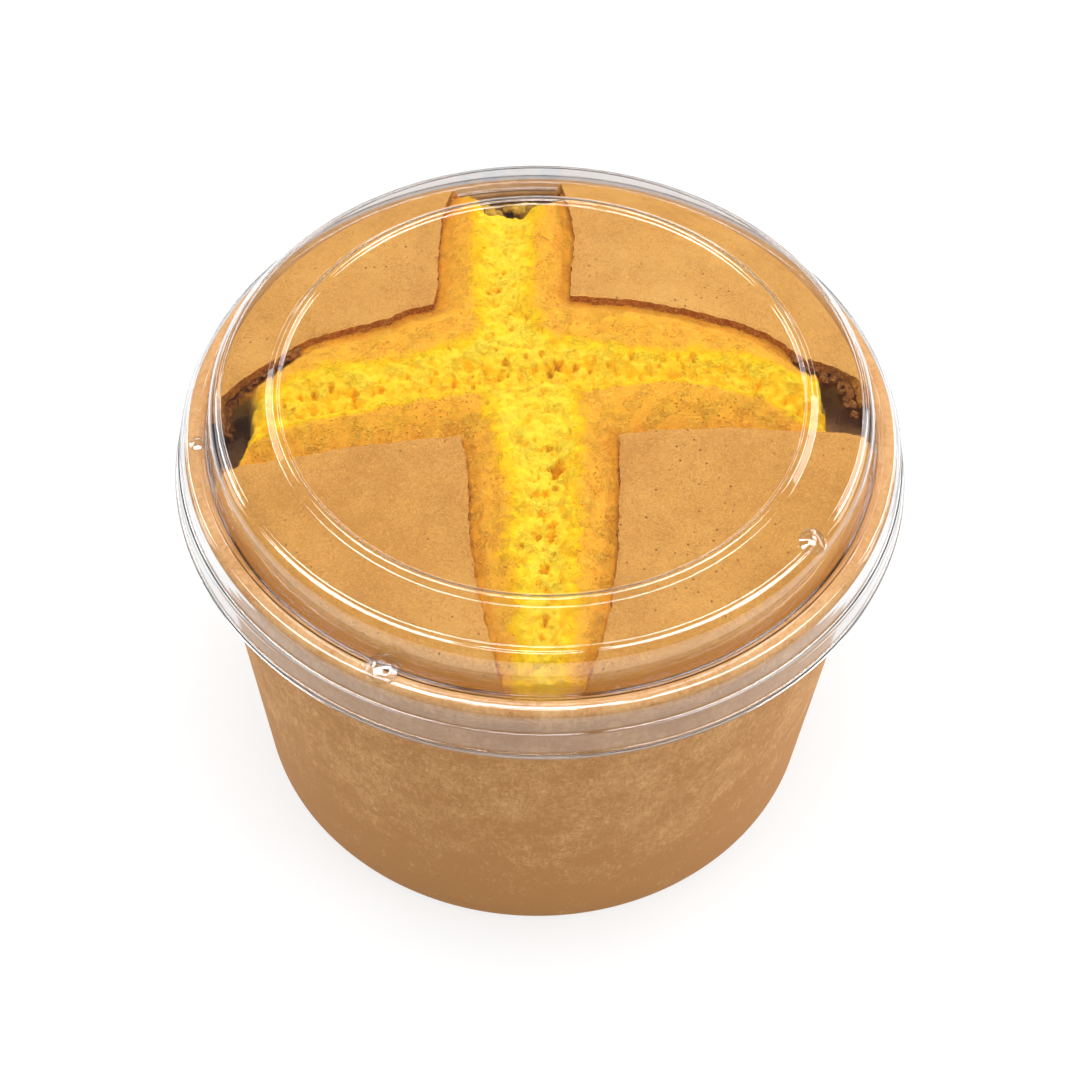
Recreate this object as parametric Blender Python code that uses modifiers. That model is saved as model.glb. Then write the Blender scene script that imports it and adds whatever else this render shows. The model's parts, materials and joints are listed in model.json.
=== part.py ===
"""Sponge cake baked in a round kraft paper bowl, under its clear press-on lid.

Three pieces stand on one axis, +Z, with the origin in the middle of the circle
the bowl stands on. The bowl is a tapered paper wall with a rolled rim and a
bottom disc set a little above its foot. The cake fills it: a pale flat crust was
slit crosswise before baking, so it lies in four quarters, and the crumb has
risen between them in a cross of swollen arms with a torn furrow along each.
The lid is one sheet of clear plastic that grips the rolled rim and rises over
the cake.
"""
import math

import bpy
import bmesh
from mathutils import Vector
from mathutils.geometry import intersect_point_line

MM = 0.001

# Every turned piece has the same number of sides, so that nested walls keep their gap.
SIDES = 56
SMOOTH_ANGLE = math.radians(35.0)
MERGE_DISTANCE = 0.01 * MM

# Paper bowl
FOOT_RADIUS = 64.8 * MM
WALL_TAPER = 0.0864            # growth of the wall's radius for each unit of height
PAPER = 0.7 * MM               # thickness of the wall and of the bottom disc
FOOT_WIDTH = 1.5 * MM          # the bottom disc's folded edge makes the foot this wide
FOOT_HEIGHT = 3.5 * MM
RIM_ROLL_RADIUS = 2.2 * MM
RIM_ROLL_CENTRE = (72.8 * MM, 94.7 * MM)
RIM_ROLL_STEPS = 11
RIM_ROLL_ANGLES = (246.0, -84.0)   # degrees: where the wall's inner and outer faces meet the roll

# Clear lid: its outer face, from the middle to the lip
LID_SHEET = 0.5 * MM
LID_PANEL_Z = 107.5 * MM
LID_RIB_INNER_RADIUS = 55.0 * MM
LID_RIB_WIDTH = 2.6 * MM
LID_RIB_HEIGHT = 0.6 * MM
LID_SHOULDER_RADIUS = 68.9 * MM
LID_SHOULDER_ROUND = 2.6 * MM
LID_SHOULDER_ANGLES = (90.0, 8.0)  # degrees: from the flat panel to the slope of the lid's wall
LID_GROOVE = (70.4 * MM, 96.4 * MM)
LID_FLANGE_GAP = 0.3 * MM      # between the rolled rim and the sheet over it
LID_FLANGE_ANGLES = (125.0, 0.0)   # degrees: the part of the roll that the sheet lies round
LID_SKIRT_STEP_Z = (92.1 * MM, 90.7 * MM)
LID_SKIRT_STEP = 0.9 * MM
LID_LIP_RADIUS = 78.0 * MM
LID_LIP_Z = 85.3 * MM
LID_BEAD = 0.6 * MM

# Cake
CAKE_GAP = 0.35 * MM           # between the cake and the paper
CAKE_NECK_RADIUS = 69.6 * MM   # where the cake passes up inside the rolled rim
CAKE_NECK_Z = (93.9 * MM, 95.9 * MM)
CAKE_NECK_RUN = 2.9 * MM       # the cake draws in from the wall to the neck over this height
CRUST_CENTRE_Z = 104.6 * MM
CRUST_FALL = 1.7 * MM          # how far the crust falls from the centre to CRUST_FALL_AT
CRUST_FALL_AT = 60.0 * MM
CRUST_EDGE_START = 63.0 * MM
CRUST_EDGE_RUN = 5.2 * MM
CRUST_EDGE_DROP = 2.0 * MM
CRUST_THICKNESS = 2.4 * MM
CRUST_RADIUS = 68.2 * MM
CRUST_RING_SHARES = (0.0, 0.25, 0.45, 0.65, 0.8, 0.92, 0.965, 1.0)
CRUST_STEP = 1.0 * MM          # the crumb comes out this far below the crust's face
ARM_RISE = 3.0 * MM            # how far an arm swells above where it comes out
ARM_RISE_RUN = 8.0 * MM
FURROW_HALF_WIDTH = 5.4 * MM
FURROW_DEPTH = 5.0 * MM
ARM_END_RADIUS = 60.0 * MM     # past this the left, right and back arms fall away from the paper
ARM_END_RUN = 4.0 * MM
ARM_END_FLOOR = 86.0 * MM
ARM_END_SIDE = 3.0 * MM        # the gap's sides slope in over this distance from the cut edges
FRONT_ARM_END = -50.0 * MM     # the front arm stays against the paper beyond this Y
CUTTER_HALF_HEIGHT = 10.0 * MM
RELIEF_SPACING = 2.0 * MM
RELIEF_CELLS = 72

# Plan of the cross in which the crust is open, in mm: each arm's two cut edges
# run out past the rim, and the four inner corners are those of the quarters.
CROSS_PLAN = [
    (76, -6.5), (66, -6.9), (52, -7.1), (38, -7.1), (24, -8.6), (16.2, -10.2),
    (16.2, -30), (15.1, -47.5), (13.4, -59.7), (10.8, -69.5), (9.5, -76),
    (-5.5, -76), (-6.7, -69), (-9.8, -59), (-12.7, -44), (-14.4, -27), (-16.5, -11.7),
    (-30, -13.7), (-51, -17.7), (-62.3, -20.2), (-76, -23),
    (-76, -7), (-66.3, -2), (-58.8, 7.8), (-50.2, 15.4), (-39.2, 19.1), (-25.5, 24.5), (-23.5, 26.5),
    (-23.4, 32), (-23.7, 44.5), (-22.5, 57.5), (-21.5, 66), (-20, 76),
    (0.5, 76), (3.2, 66), (5.5, 55), (6.3, 45), (5.7, 29.5),
    (19, 28.7), (33.6, 25.7), (46.3, 21), (55.8, 13), (64, 10.6), (76, 8),
]

# Plans of the two torn furrows that cross in the middle, in mm
FURROW_LEFT_TO_RIGHT = [
    (-74, -17), (-57, -8.5), (-50, -4.5), (-43, -1.5), (-28, 1.2), (-18, 4.5),
    (-5, 6.5), (8, 6.5), (19, 6.8), (30, 7.4), (38.5, 6.6), (46, 5.2), (55, 1), (74, -7),
]
FURROW_FRONT_TO_BACK = [
    (1, -74), (1.3, -58), (1.6, -50), (0.7, -40), (1.2, -28), (-0.5, -16.7), (-2.5, -5),
    (-5, 6), (-8, 16), (-9.1, 25), (-8.8, 37.7), (-9.1, 51), (-9.5, 74),
]


def in_metres(plan):
    return [Vector((x * MM, y * MM, 0.0)) for x, y in plan]


CROSS = in_metres(CROSS_PLAN)
FURROWS = [in_metres(FURROW_LEFT_TO_RIGHT), in_metres(FURROW_FRONT_TO_BACK)]


def smooth_step(value):
    value = min(1.0, max(0.0, value))
    return value * value * (3.0 - 2.0 * value)


def distance_to_line(point, line):
    """Distance in plan from a point to a run of straight pieces."""
    nearest = math.inf
    for start, end in zip(line, line[1:]):
        foot, share = intersect_point_line(point, start, end)
        foot = start.lerp(end, min(1.0, max(0.0, share)))
        nearest = min(nearest, (point - foot).length)
    return nearest


def inside_cross(point):
    """True where a ray along +X crosses the outline an odd number of times."""
    inside = False
    for start, end in zip(CROSS, CROSS[1:] + CROSS[:1]):
        if (start.y > point.y) != (end.y > point.y):
            crossing = start.x + (point.y - start.y) * (end.x - start.x) / (end.y - start.y)
            if crossing > point.x:
                inside = not inside
    return inside


def crust_height(radius):
    """Height of the crust's face: a low dome that rounds down near the paper."""
    dome = CRUST_CENTRE_Z - CRUST_FALL * (radius / CRUST_FALL_AT) ** 2
    past_edge = max(0.0, (radius - CRUST_EDGE_START) / CRUST_EDGE_RUN)
    return dome - CRUST_EDGE_DROP * past_edge ** 2


def crumb_height(x, y):
    """Height of the open crumb: swollen arms, furrows, and gaps at three arms' ends."""
    point = Vector((x, y, 0.0))
    radius = point.length
    height = crust_height(min(radius, CRUST_RADIUS)) - CRUST_STEP
    if not inside_cross(point):
        return height
    from_cut = distance_to_line(point, CROSS + CROSS[:1])
    height += ARM_RISE * smooth_step(from_cut / ARM_RISE_RUN)
    from_furrow = min(distance_to_line(point, furrow) for furrow in FURROWS)
    height -= FURROW_DEPTH * (1.0 - smooth_step(from_furrow / FURROW_HALF_WIDTH))
    if y < FRONT_ARM_END:
        return height
    fall = smooth_step((radius - ARM_END_RADIUS) / ARM_END_RUN) * smooth_step(from_cut / ARM_END_SIDE)
    return height + (ARM_END_FLOOR - height) * fall


def wall_radius(height):
    """Outer radius of the paper wall at a height."""
    return FOOT_RADIUS + WALL_TAPER * height


def arc(centre, radius, first, last, steps):
    """Points on an arc in the (radius, height) plane, angles in degrees."""
    points = []
    for index in range(steps + 1):
        angle = math.radians(first + (last - first) * index / steps)
        points.append((centre[0] + radius * math.cos(angle), centre[1] + radius * math.sin(angle)))
    return points


def remove_old_objects():
    for old in list(bpy.data.objects):
        bpy.data.objects.remove(old, do_unlink=True)


def new_collection(name):
    collection = bpy.data.collections.new(name)
    bpy.context.scene.collection.children.link(collection)
    return collection


def new_material(name, colour, roughness, alpha=1.0):
    material = bpy.data.materials.new(name)
    material.use_nodes = True
    shader = material.node_tree.nodes["Principled BSDF"]
    shader.inputs["Base Color"].default_value = (*colour, 1.0)
    shader.inputs["Roughness"].default_value = roughness
    shader.inputs["Metallic"].default_value = 0.0
    shader.inputs["Alpha"].default_value = alpha
    return material


def new_object(name, mesh, collection):
    piece = bpy.data.objects.new(name, mesh)
    collection.objects.link(piece)
    return piece


def turn(name, profile, collection):
    """Turn a profile of (radius, height) points about Z with a Screw modifier."""
    mesh = bpy.data.meshes.new(name)
    shape = bmesh.new()
    corners = [shape.verts.new((radius, 0.0, height)) for radius, height in profile]
    for start, end in zip(corners, corners[1:]):
        shape.edges.new((start, end))
    shape.to_mesh(mesh)
    shape.free()
    piece = new_object(name, mesh, collection)
    screw = piece.modifiers.new("Turn", 'SCREW')
    screw.axis = 'Z'
    screw.angle = math.tau
    screw.steps = SIDES
    screw.render_steps = SIDES
    screw.use_merge_vertices = True
    screw.merge_threshold = MERGE_DISTANCE
    return piece


def apply_modifiers(piece):
    """Replace the object's mesh by the one its modifiers make."""
    graph = bpy.context.evaluated_depsgraph_get()
    mesh = bpy.data.meshes.new_from_object(piece.evaluated_get(graph))
    piece.modifiers.clear()
    piece.data = mesh


def combine(piece, other, operation):
    """Apply a Boolean with another object, and remove that object."""
    boolean = piece.modifiers.new("Combine", 'BOOLEAN')
    boolean.operation = operation
    boolean.solver = 'EXACT'
    boolean.object = other
    apply_modifiers(piece)
    bpy.data.objects.remove(other, do_unlink=True)


def finish(piece, material):
    """Give a piece its one material and smooth all but its sharp edges."""
    piece.data.materials.clear()
    piece.data.materials.append(material)
    piece.data.shade_smooth()
    piece.data.set_sharp_from_angle(angle=SMOOTH_ANGLE)


def make_bowl(collection):
    """Paper bowl: bottom disc, tapered wall, rolled rim and foot, as one profile."""
    floor = FOOT_HEIGHT + PAPER
    profile = [
        (0.0, floor),
        (wall_radius(floor) - PAPER, floor),
        *arc(RIM_ROLL_CENTRE, RIM_ROLL_RADIUS, *RIM_ROLL_ANGLES, RIM_ROLL_STEPS),
        (FOOT_RADIUS, 0.0),
        (FOOT_RADIUS - FOOT_WIDTH, 0.0),
        (wall_radius(FOOT_HEIGHT) - FOOT_WIDTH, FOOT_HEIGHT),
        (0.0, FOOT_HEIGHT),
    ]
    bowl = turn("bowl", profile, collection)
    apply_modifiers(bowl)
    finish(bowl, new_material("kraft_paper", (0.45, 0.26, 0.11), 0.75))
    return bowl


def lid_profile():
    """Outer face of the lid from the middle of its panel to the lip of its skirt."""
    rib_in = LID_RIB_INNER_RADIUS
    rib_out = rib_in + LID_RIB_WIDTH
    ramp = LID_RIB_HEIGHT
    panel = LID_PANEL_Z
    round_centre = (LID_SHOULDER_RADIUS - LID_SHOULDER_ROUND, panel - LID_SHOULDER_ROUND)
    over_roll = RIM_ROLL_RADIUS + LID_FLANGE_GAP + LID_SHEET
    skirt_radius = RIM_ROLL_CENTRE[0] + over_roll
    step_top, step_bottom = LID_SKIRT_STEP_Z
    return [
        (0.0, panel),
        (rib_in, panel),
        (rib_in + ramp, panel + ramp),
        (rib_out - ramp, panel + ramp),
        (rib_out, panel),
        *arc(round_centre, LID_SHOULDER_ROUND, *LID_SHOULDER_ANGLES, 3),
        LID_GROOVE,
        *arc(RIM_ROLL_CENTRE, over_roll, *LID_FLANGE_ANGLES, 5),
        (skirt_radius, step_top),
        (skirt_radius + LID_SKIRT_STEP, step_bottom),
        (LID_LIP_RADIUS - LID_BEAD, LID_LIP_Z + 2 * LID_BEAD),
        (LID_LIP_RADIUS, LID_LIP_Z + LID_BEAD),
        (LID_LIP_RADIUS, LID_LIP_Z),
    ]


def make_lid(collection):
    """Clear lid: an open turned sheet, thickened inwards."""
    lid = turn("lid", lid_profile(), collection)
    sheet = lid.modifiers.new("Sheet", 'SOLIDIFY')
    sheet.thickness = LID_SHEET
    sheet.offset = -1.0
    sheet.use_even_offset = True
    apply_modifiers(lid)
    finish(lid, new_material("clear_plastic", (0.95, 0.95, 0.95), 0.05, alpha=0.25))
    return lid


def crumb_block(collection):
    """A block whose top carries the relief of the open crumb."""
    bpy.ops.mesh.primitive_grid_add(x_subdivisions=RELIEF_CELLS, y_subdivisions=RELIEF_CELLS,
                                    size=RELIEF_CELLS * RELIEF_SPACING)
    block = bpy.context.object
    block.name = "cake"
    for owner in list(block.users_collection):
        owner.objects.unlink(block)
    collection.objects.link(block)
    shape = bmesh.new()
    shape.from_mesh(block.data)
    for corner in shape.verts:
        corner.co.z = crumb_height(corner.co.x, corner.co.y)
    bottom = bmesh.ops.extrude_face_region(shape, geom=shape.faces[:])
    for corner in bottom["geom"]:
        if isinstance(corner, bmesh.types.BMVert):
            corner.co.z = 0.0
    bmesh.ops.recalc_face_normals(shape, faces=shape.faces[:])
    shape.to_mesh(block.data)
    shape.free()
    return block


def crust_quarters(collection):
    """The crust's low dome with the cross cut out of it."""
    radii = [CRUST_RADIUS * share for share in CRUST_RING_SHARES]
    profile = [(radius, crust_height(radius)) for radius in radii]
    profile += [(radius, crust_height(radius) - CRUST_THICKNESS) for radius in reversed(radii)]
    crust = turn("crust", profile, collection)
    apply_modifiers(crust)

    outline = bpy.data.curves.new("cross", 'CURVE')
    outline.dimensions = '2D'
    outline.fill_mode = 'BOTH'
    outline.extrude = CUTTER_HALF_HEIGHT
    spline = outline.splines.new('POLY')
    spline.points.add(len(CROSS) - 1)
    for point, place in zip(spline.points, CROSS):
        point.co = (place.x, place.y, 0.0, 1.0)
    spline.use_cyclic_u = True
    flat = new_object("cross_outline", outline, collection)
    flat.location.z = CRUST_CENTRE_Z
    graph = bpy.context.evaluated_depsgraph_get()
    mesh = bpy.data.meshes.new_from_object(flat.evaluated_get(graph))
    shape = bmesh.new()
    shape.from_mesh(mesh)
    bmesh.ops.remove_doubles(shape, verts=shape.verts[:], dist=MERGE_DISTANCE)
    bmesh.ops.recalc_face_normals(shape, faces=shape.faces[:])
    shape.to_mesh(mesh)
    shape.free()
    cutter = new_object("cross", mesh, collection)
    cutter.location = flat.location
    bpy.data.objects.remove(flat, do_unlink=True)
    combine(crust, cutter, 'DIFFERENCE')
    return crust


def cake_envelope(collection):
    """The room the cake has inside the paper and under the lid, as a turned solid."""
    floor = FOOT_HEIGHT + PAPER + CAKE_GAP
    top = CRUST_CENTRE_Z + ARM_RISE
    neck_bottom, neck_top = CAKE_NECK_Z
    below_neck = neck_bottom - CAKE_NECK_RUN
    profile = [
        (0.0, top),
        (CRUST_EDGE_START, top),
        (CRUST_RADIUS, crust_height(CRUST_RADIUS)),
        (CAKE_NECK_RADIUS, neck_top),
        (CAKE_NECK_RADIUS, neck_bottom),
        (wall_radius(below_neck) - PAPER - CAKE_GAP, below_neck),
        (wall_radius(floor) - PAPER - CAKE_GAP, floor),
        (0.0, floor),
    ]
    envelope = turn("envelope", profile, collection)
    apply_modifiers(envelope)
    return envelope


def make_cake(collection):
    """Cake: the crumb with its relief, the four quarters of crust, trimmed to the bowl."""
    cake = crumb_block(collection)
    combine(cake, crust_quarters(collection), 'UNION')
    combine(cake, cake_envelope(collection), 'INTERSECT')
    finish(cake, new_material("baked_sponge", (0.80, 0.45, 0.13), 0.85))
    return cake


def main():
    remove_old_objects()
    collection = new_collection("sponge_cake_in_bowl")
    make_bowl(collection)
    make_cake(collection)
    make_lid(collection)


main()
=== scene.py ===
# %% [markdown]
# # A sponge cake in a kraft paper bowl, under a clear lid
#
# The cake was baked in the bowl that it is sold in. Its flat crust was slit in a cross before baking,
# and the crumb rose through the slit: four quarters of tan crust lie round a cross of swollen orange
# arms, each torn open along its middle down to bright yellow crumb. A clear plastic lid with a ring
# pressed into its top grips the rolled paper rim.
#
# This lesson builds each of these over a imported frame, in metres, and keeps to the frame's own space.
# The cake is the subject, so most of the work goes into its relief: one height rule shapes the crumb,
# and the same rule says where the crumb is fresh and yellow and where it is baked.

# %% Load the frame
import json
import math
import random

import bpy
import numpy as np
from mathutils import Euler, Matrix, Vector, noise

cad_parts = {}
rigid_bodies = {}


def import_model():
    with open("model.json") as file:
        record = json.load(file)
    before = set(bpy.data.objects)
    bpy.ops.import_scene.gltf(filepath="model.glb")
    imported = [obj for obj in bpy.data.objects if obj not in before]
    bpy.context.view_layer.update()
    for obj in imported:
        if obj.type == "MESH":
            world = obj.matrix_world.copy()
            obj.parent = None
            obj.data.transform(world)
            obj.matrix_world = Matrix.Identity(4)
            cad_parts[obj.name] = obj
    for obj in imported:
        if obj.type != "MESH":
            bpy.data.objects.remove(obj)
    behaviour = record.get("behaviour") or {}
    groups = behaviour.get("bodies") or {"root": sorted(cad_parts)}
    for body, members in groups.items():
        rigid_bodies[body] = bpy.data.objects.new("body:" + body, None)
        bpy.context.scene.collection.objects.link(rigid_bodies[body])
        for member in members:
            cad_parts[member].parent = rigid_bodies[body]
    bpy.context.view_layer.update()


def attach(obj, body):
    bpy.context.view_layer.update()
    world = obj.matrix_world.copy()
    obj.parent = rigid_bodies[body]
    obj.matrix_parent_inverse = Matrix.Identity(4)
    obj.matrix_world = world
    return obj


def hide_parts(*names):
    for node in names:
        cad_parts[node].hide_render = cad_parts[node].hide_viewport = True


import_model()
MM = 0.001

# %% [markdown]
# ## Working in edit mode from a script
#
# Every operator acts on all that is selected, and the frame arrives selected, so each piece starts by
# clearing the selection. A turned piece is modelled as by hand: a plane is merged to one point, the
# point is extruded along the outline from top to bottom, and the outline is spun round Z.

# %% Helpers for modelling


def clear_selection():
    """Leave edit mode and deselect everything."""
    if bpy.context.object and bpy.context.object.mode != 'OBJECT':
        bpy.ops.object.mode_set(mode='OBJECT')
    bpy.ops.object.select_all(action='DESELECT')


def make_active(piece):
    """Select this piece alone, so that the operators act on it."""
    clear_selection()
    piece.select_set(True)
    bpy.context.view_layer.objects.active = piece


def name_piece(name):
    """Name the active object and its mesh."""
    piece = bpy.context.object
    piece.name = name
    piece.data.name = name
    return piece


def turned(name, outline, steps):
    """Spin an outline of (radius, height) points, in mm, round Z, and close it."""
    clear_selection()
    bpy.ops.mesh.primitive_plane_add(size=MM)
    piece = name_piece(name)
    bpy.ops.object.mode_set(mode='EDIT')
    bpy.ops.mesh.select_mode(type='VERT')
    bpy.ops.mesh.merge(type='CENTER')
    bpy.ops.mesh.select_all(action='SELECT')
    at = (0.0, 0.0)
    for index, point in enumerate(outline):
        move = ((point[0] - at[0]) * MM, 0.0, (point[1] - at[1]) * MM)
        if index == 0:
            bpy.ops.transform.translate(value=move)
        else:
            bpy.ops.mesh.extrude_region_move(TRANSFORM_OT_translate={"value": move})
        at = point
    bpy.ops.mesh.select_all(action='SELECT')
    bpy.ops.mesh.spin(steps=steps, angle=math.tau, center=(0, 0, 0), axis=(0, 0, 1))
    bpy.ops.mesh.select_all(action='SELECT')
    bpy.ops.mesh.remove_doubles(threshold=0.002 * MM)
    bpy.ops.mesh.normals_make_consistent(inside=False)
    bpy.ops.object.mode_set(mode='OBJECT')
    return piece


def smooth_by_angle(piece, degrees):
    """Shade smooth, and keep the edges sharper than the angle."""
    make_active(piece)
    bpy.ops.object.shade_smooth_by_angle(angle=math.radians(degrees))


def thicken(piece, thickness, offset, even=False):
    """Give a sheet its thickness, in mm: inwards at offset -1, outwards at 1, both ways at 0."""
    make_active(piece)
    sheet = piece.modifiers.new("Sheet", 'SOLIDIFY')
    sheet.thickness = thickness * MM
    sheet.offset = offset
    sheet.use_even_offset = even
    bpy.ops.object.modifier_apply(modifier=sheet.name)


def arc(centre, radius, first, last, steps):
    """Points on an arc in the (radius, height) plane, in degrees."""
    turns = np.radians(np.linspace(first, last, steps + 1))
    return [(centre[0] + radius * math.cos(t), centre[1] + radius * math.sin(t)) for t in turns]


def rounded(outline, radii, steps=4):
    """Round some corners: radii says how far each rounding reaches along its two sides."""
    result = []
    for index, corner in enumerate(outline):
        radius = radii.get(index)
        if radius is None:
            result.append(corner)
            continue
        here = Vector(corner)
        back = (Vector(outline[index - 1]) - here).normalized()
        ahead = (Vector(outline[index + 1]) - here).normalized()
        for step in range(steps + 1):
            share = step / steps
            start = here + back * radius
            end = here + ahead * radius
            point = start.lerp(here, share).lerp(here.lerp(end, share), share)
            result.append((point.x, point.y))
    return result


def coordinates(piece):
    """The piece's vertices as an array of metres."""
    flat = np.empty(len(piece.data.vertices) * 3)
    piece.data.vertices.foreach_get("co", flat)
    return flat.reshape(-1, 3)


def place(piece, points):
    """Write an array of metres back to the piece's vertices."""
    piece.data.vertices.foreach_set("co", np.ascontiguousarray(points).ravel())
    piece.data.update()


print("helpers ready")

# %% [markdown]
# ## Materials as expressions
#
# A pattern reads best as arithmetic. The class below wraps one socket, so that `1 - mask` or
# `grain * 0.2` adds the Math node by itself. Every other node comes from `Finish.node`, which sets the
# node's settings first and then its sockets.

# %% Shader helpers


class Wire:
    """One output socket that behaves like a number."""

    def __init__(self, tree, socket):
        self.tree = tree
        self.socket = socket

    def math(self, operation, *values):
        """Add a Math node with these values in its slots."""
        node = self.tree.nodes.new("ShaderNodeMath")
        node.operation = operation
        for slot, value in zip(node.inputs, values):
            connect(self.tree, slot, value)
        return Wire(self.tree, node.outputs[0])

    def __add__(self, other):
        return self.math('ADD', self, other)

    __radd__ = __add__

    def __sub__(self, other):
        return self.math('SUBTRACT', self, other)

    def __rsub__(self, other):
        return self.math('SUBTRACT', other, self)

    def __mul__(self, other):
        return self.math('MULTIPLY', self, other)

    def __truediv__(self, other):
        return self.math('DIVIDE', self, other)

    def clamp(self):
        return self.math('MAXIMUM', self.math('MINIMUM', self, 1.0), 0.0)

    def between(self, low, high):
        """0 at low, 1 at high, and smooth between them."""
        node = self.tree.nodes.new("ShaderNodeMapRange")
        node.interpolation_type = 'SMOOTHSTEP'
        connect(self.tree, node.inputs["Value"], self)
        connect(self.tree, node.inputs["From Min"], low)
        connect(self.tree, node.inputs["From Max"], high)
        return Wire(self.tree, node.outputs[0])


def connect(tree, slot, value):
    """Link a wire to an input, or set the input to a plain value."""
    if isinstance(value, Wire):
        tree.links.new(value.socket, slot)
    else:
        slot.default_value = value


class Finish:
    """A material under construction, with one way to add any node."""

    def __init__(self, name, **constants):
        self.material = bpy.data.materials.new(name)
        self.material.use_nodes = True
        self.tree = self.material.node_tree
        self.shader = self.tree.nodes["Principled BSDF"]
        for socket, value in constants.items():
            self.shader.inputs[socket.replace("_", " ")].default_value = value
        self.place = self.node("ShaderNodeTexCoord", output="Object")

    def node(self, kind, settings=None, values=None, output=0):
        """Add a node with its settings and its sockets' values, and give back one output."""
        node = self.tree.nodes.new(kind)
        for key, value in (settings or {}).items():
            if key == "stops":
                ramp = node.color_ramp
                while len(ramp.elements) < len(value):
                    ramp.elements.new(0.5)
                for element, (position, colour) in zip(ramp.elements, value):
                    element.position = position
                    element.color = (*colour, 1.0)
            else:
                setattr(node, key, value)
        for key, value in (values or {}).items():
            connect(self.tree, node.inputs[key], value)
        return Wire(self.tree, node.outputs[output])

    def noise(self, size, detail=3.0, roughness=0.55, stretch=None, curl=0.0):
        """Soft noise whose largest lumps are about size across, in metres. Curl twists it into hairs."""
        place = self.place
        if stretch:
            place = self.node("ShaderNodeMapping", values={"Vector": place, "Scale": stretch})
        return self.node("ShaderNodeTexNoise", values={
            "Vector": place, "Scale": 1.0 / size, "Detail": detail, "Roughness": roughness,
            "Distortion": curl})

    def cells(self, size):
        """Distance to the nearest of many scattered points, about size apart."""
        return self.node("ShaderNodeTexVoronoi", values={"Vector": self.place, "Scale": 1.0 / size})

    def threads(self, size, width, stretch=None, curl=1.0):
        """Short curled hairs, 1 on a hair: the lines where soft noise is halfway, broken up by noise."""
        line = self.noise(size, 1.0, 0.5, stretch, curl) - 0.5
        off = line.math('ABSOLUTE', line) / width
        return (1 - off).clamp() * self.noise(size * 2.2, 2.0, 0.5).between(0.44, 0.58)

    def axis(self, letter):
        """The place along X, Y or Z, in metres."""
        return self.node("ShaderNodeSeparateXYZ", values={"Vector": self.place}, output=letter)

    def attribute(self, name):
        """A number that the mesh carries at each vertex."""
        return self.node("ShaderNodeAttribute", {"attribute_name": name}, output="Fac")

    def ramp(self, factor, stops):
        """Colours at their stops, read off by a factor."""
        return self.node("ShaderNodeValToRGB", {"stops": stops}, {"Fac": factor})

    def blend(self, factor, first, second):
        """Mix two colours; a plain colour is given as three numbers."""
        node = self.tree.nodes.new("ShaderNodeMix")
        node.data_type = 'RGBA'
        connect(self.tree, node.inputs["Factor"], factor)
        for slot, value in ((node.inputs[6], first), (node.inputs[7], second)):
            connect(self.tree, slot, value if isinstance(value, Wire) else (*value, 1.0))
        return Wire(self.tree, node.outputs[2])

    def bump(self, height, depth):
        """Bump the surface by a height pattern, with depth in metres."""
        return self.node("ShaderNodeBump", values={
            "Height": height, "Distance": depth, "Strength": 1.0}, output="Normal")

    def drive(self, **wires):
        """Link patterns to the shader's sockets, and give back the material."""
        for socket, wire in wires.items():
            connect(self.tree, self.shader.inputs[socket.replace("_", " ")], wire)
        return self.material


def give(piece, material):
    """Make this the piece's only material."""
    piece.data.materials.clear()
    piece.data.materials.append(material)


print("shader helpers ready")

# %% [markdown]
# ## The plan of the cake
#
# The four cut edges of crust and the edges of the torn furrows are the driving outline. They are short
# lists of plan points, in millimetres: +X to the right and -Y towards the viewer. Everything else is
# worked out from them as distances: how far a point is from the nearest cut, and how far across a
# furrow it lies.

# %% Plan, in millimetres
# The cuts run from each quarter's inner corner out to the rim.
CUT_ALONG_LEFT_ARM_FAR = [
    (-23.9, 26.0), (-29.6, 24.0), (-32.9, 21.6), (-39.2, 19.1), (-45.9, 17.1), (-50.2, 15.4),
    (-55.2, 11.1), (-58.8, 7.8), (-63.3, 3.6), (-67.0, 0.0), (-74, -3.0)]
CUT_ALONG_LEFT_ARM_NEAR = [(-16.5, -11.6), (-22.9, -12.4), (-29.9, -13.7), (-41.5, -15.6), (-50.8, -17.7),
                           (-62.3, -20.2), (-74, -22.8)]
CUT_ALONG_RIGHT_ARM_FAR = [
    (5.6, 29.4), (11.8, 29.1), (19.2, 28.7), (26.7, 27.4), (33.6, 25.7), (40.5, 23.7), (46.3, 21.1),
    (51.1, 17.7), (55.8, 13.4), (60.7, 12.2), (64.0, 10.6), (74, 7.0)]
CUT_ALONG_RIGHT_ARM_NEAR = [
    (16.1, -10.1), (23.7, -8.6), (30.8, -7.9), (38.5, -7.1), (45.2, -7.0), (52.3, -7.1), (59.5, -6.8),
    (66.3, -6.9), (74, -7.0)]
CUT_ALONG_BACK_ARM_LEFT = [(-23.9, 26.0), (-23.3, 31.9), (-23.7, 44.4), (-23.5, 51.3), (-22.5, 57.5),
                           (-21.5, 65), (-20.5, 74)]
CUT_ALONG_BACK_ARM_RIGHT = [(5.6, 29.4), (5.9, 40.0), (6.3, 49.1), (5.5, 55.2), (3.9, 63.1), (2.0, 74)]
CUT_ALONG_FRONT_ARM_LEFT = [(-16.5, -11.6), (-15.2, -17.6), (-14.4, -27.3), (-13.8, -35.3), (-12.7, -44.1),
                            (-11.4, -52.6), (-9.8, -58.8), (-7.8, -65.6), (-6.0, -74)]
CUT_ALONG_FRONT_ARM_RIGHT = [(16.1, -10.1), (16.3, -20.7), (16.1, -29.9), (16.0, -38.8), (15.1, -47.5),
                             (14.6, -53.4), (13.4, -59.7), (12.2, -63.9), (10.5, -69.7), (9.5, -74)]

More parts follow.
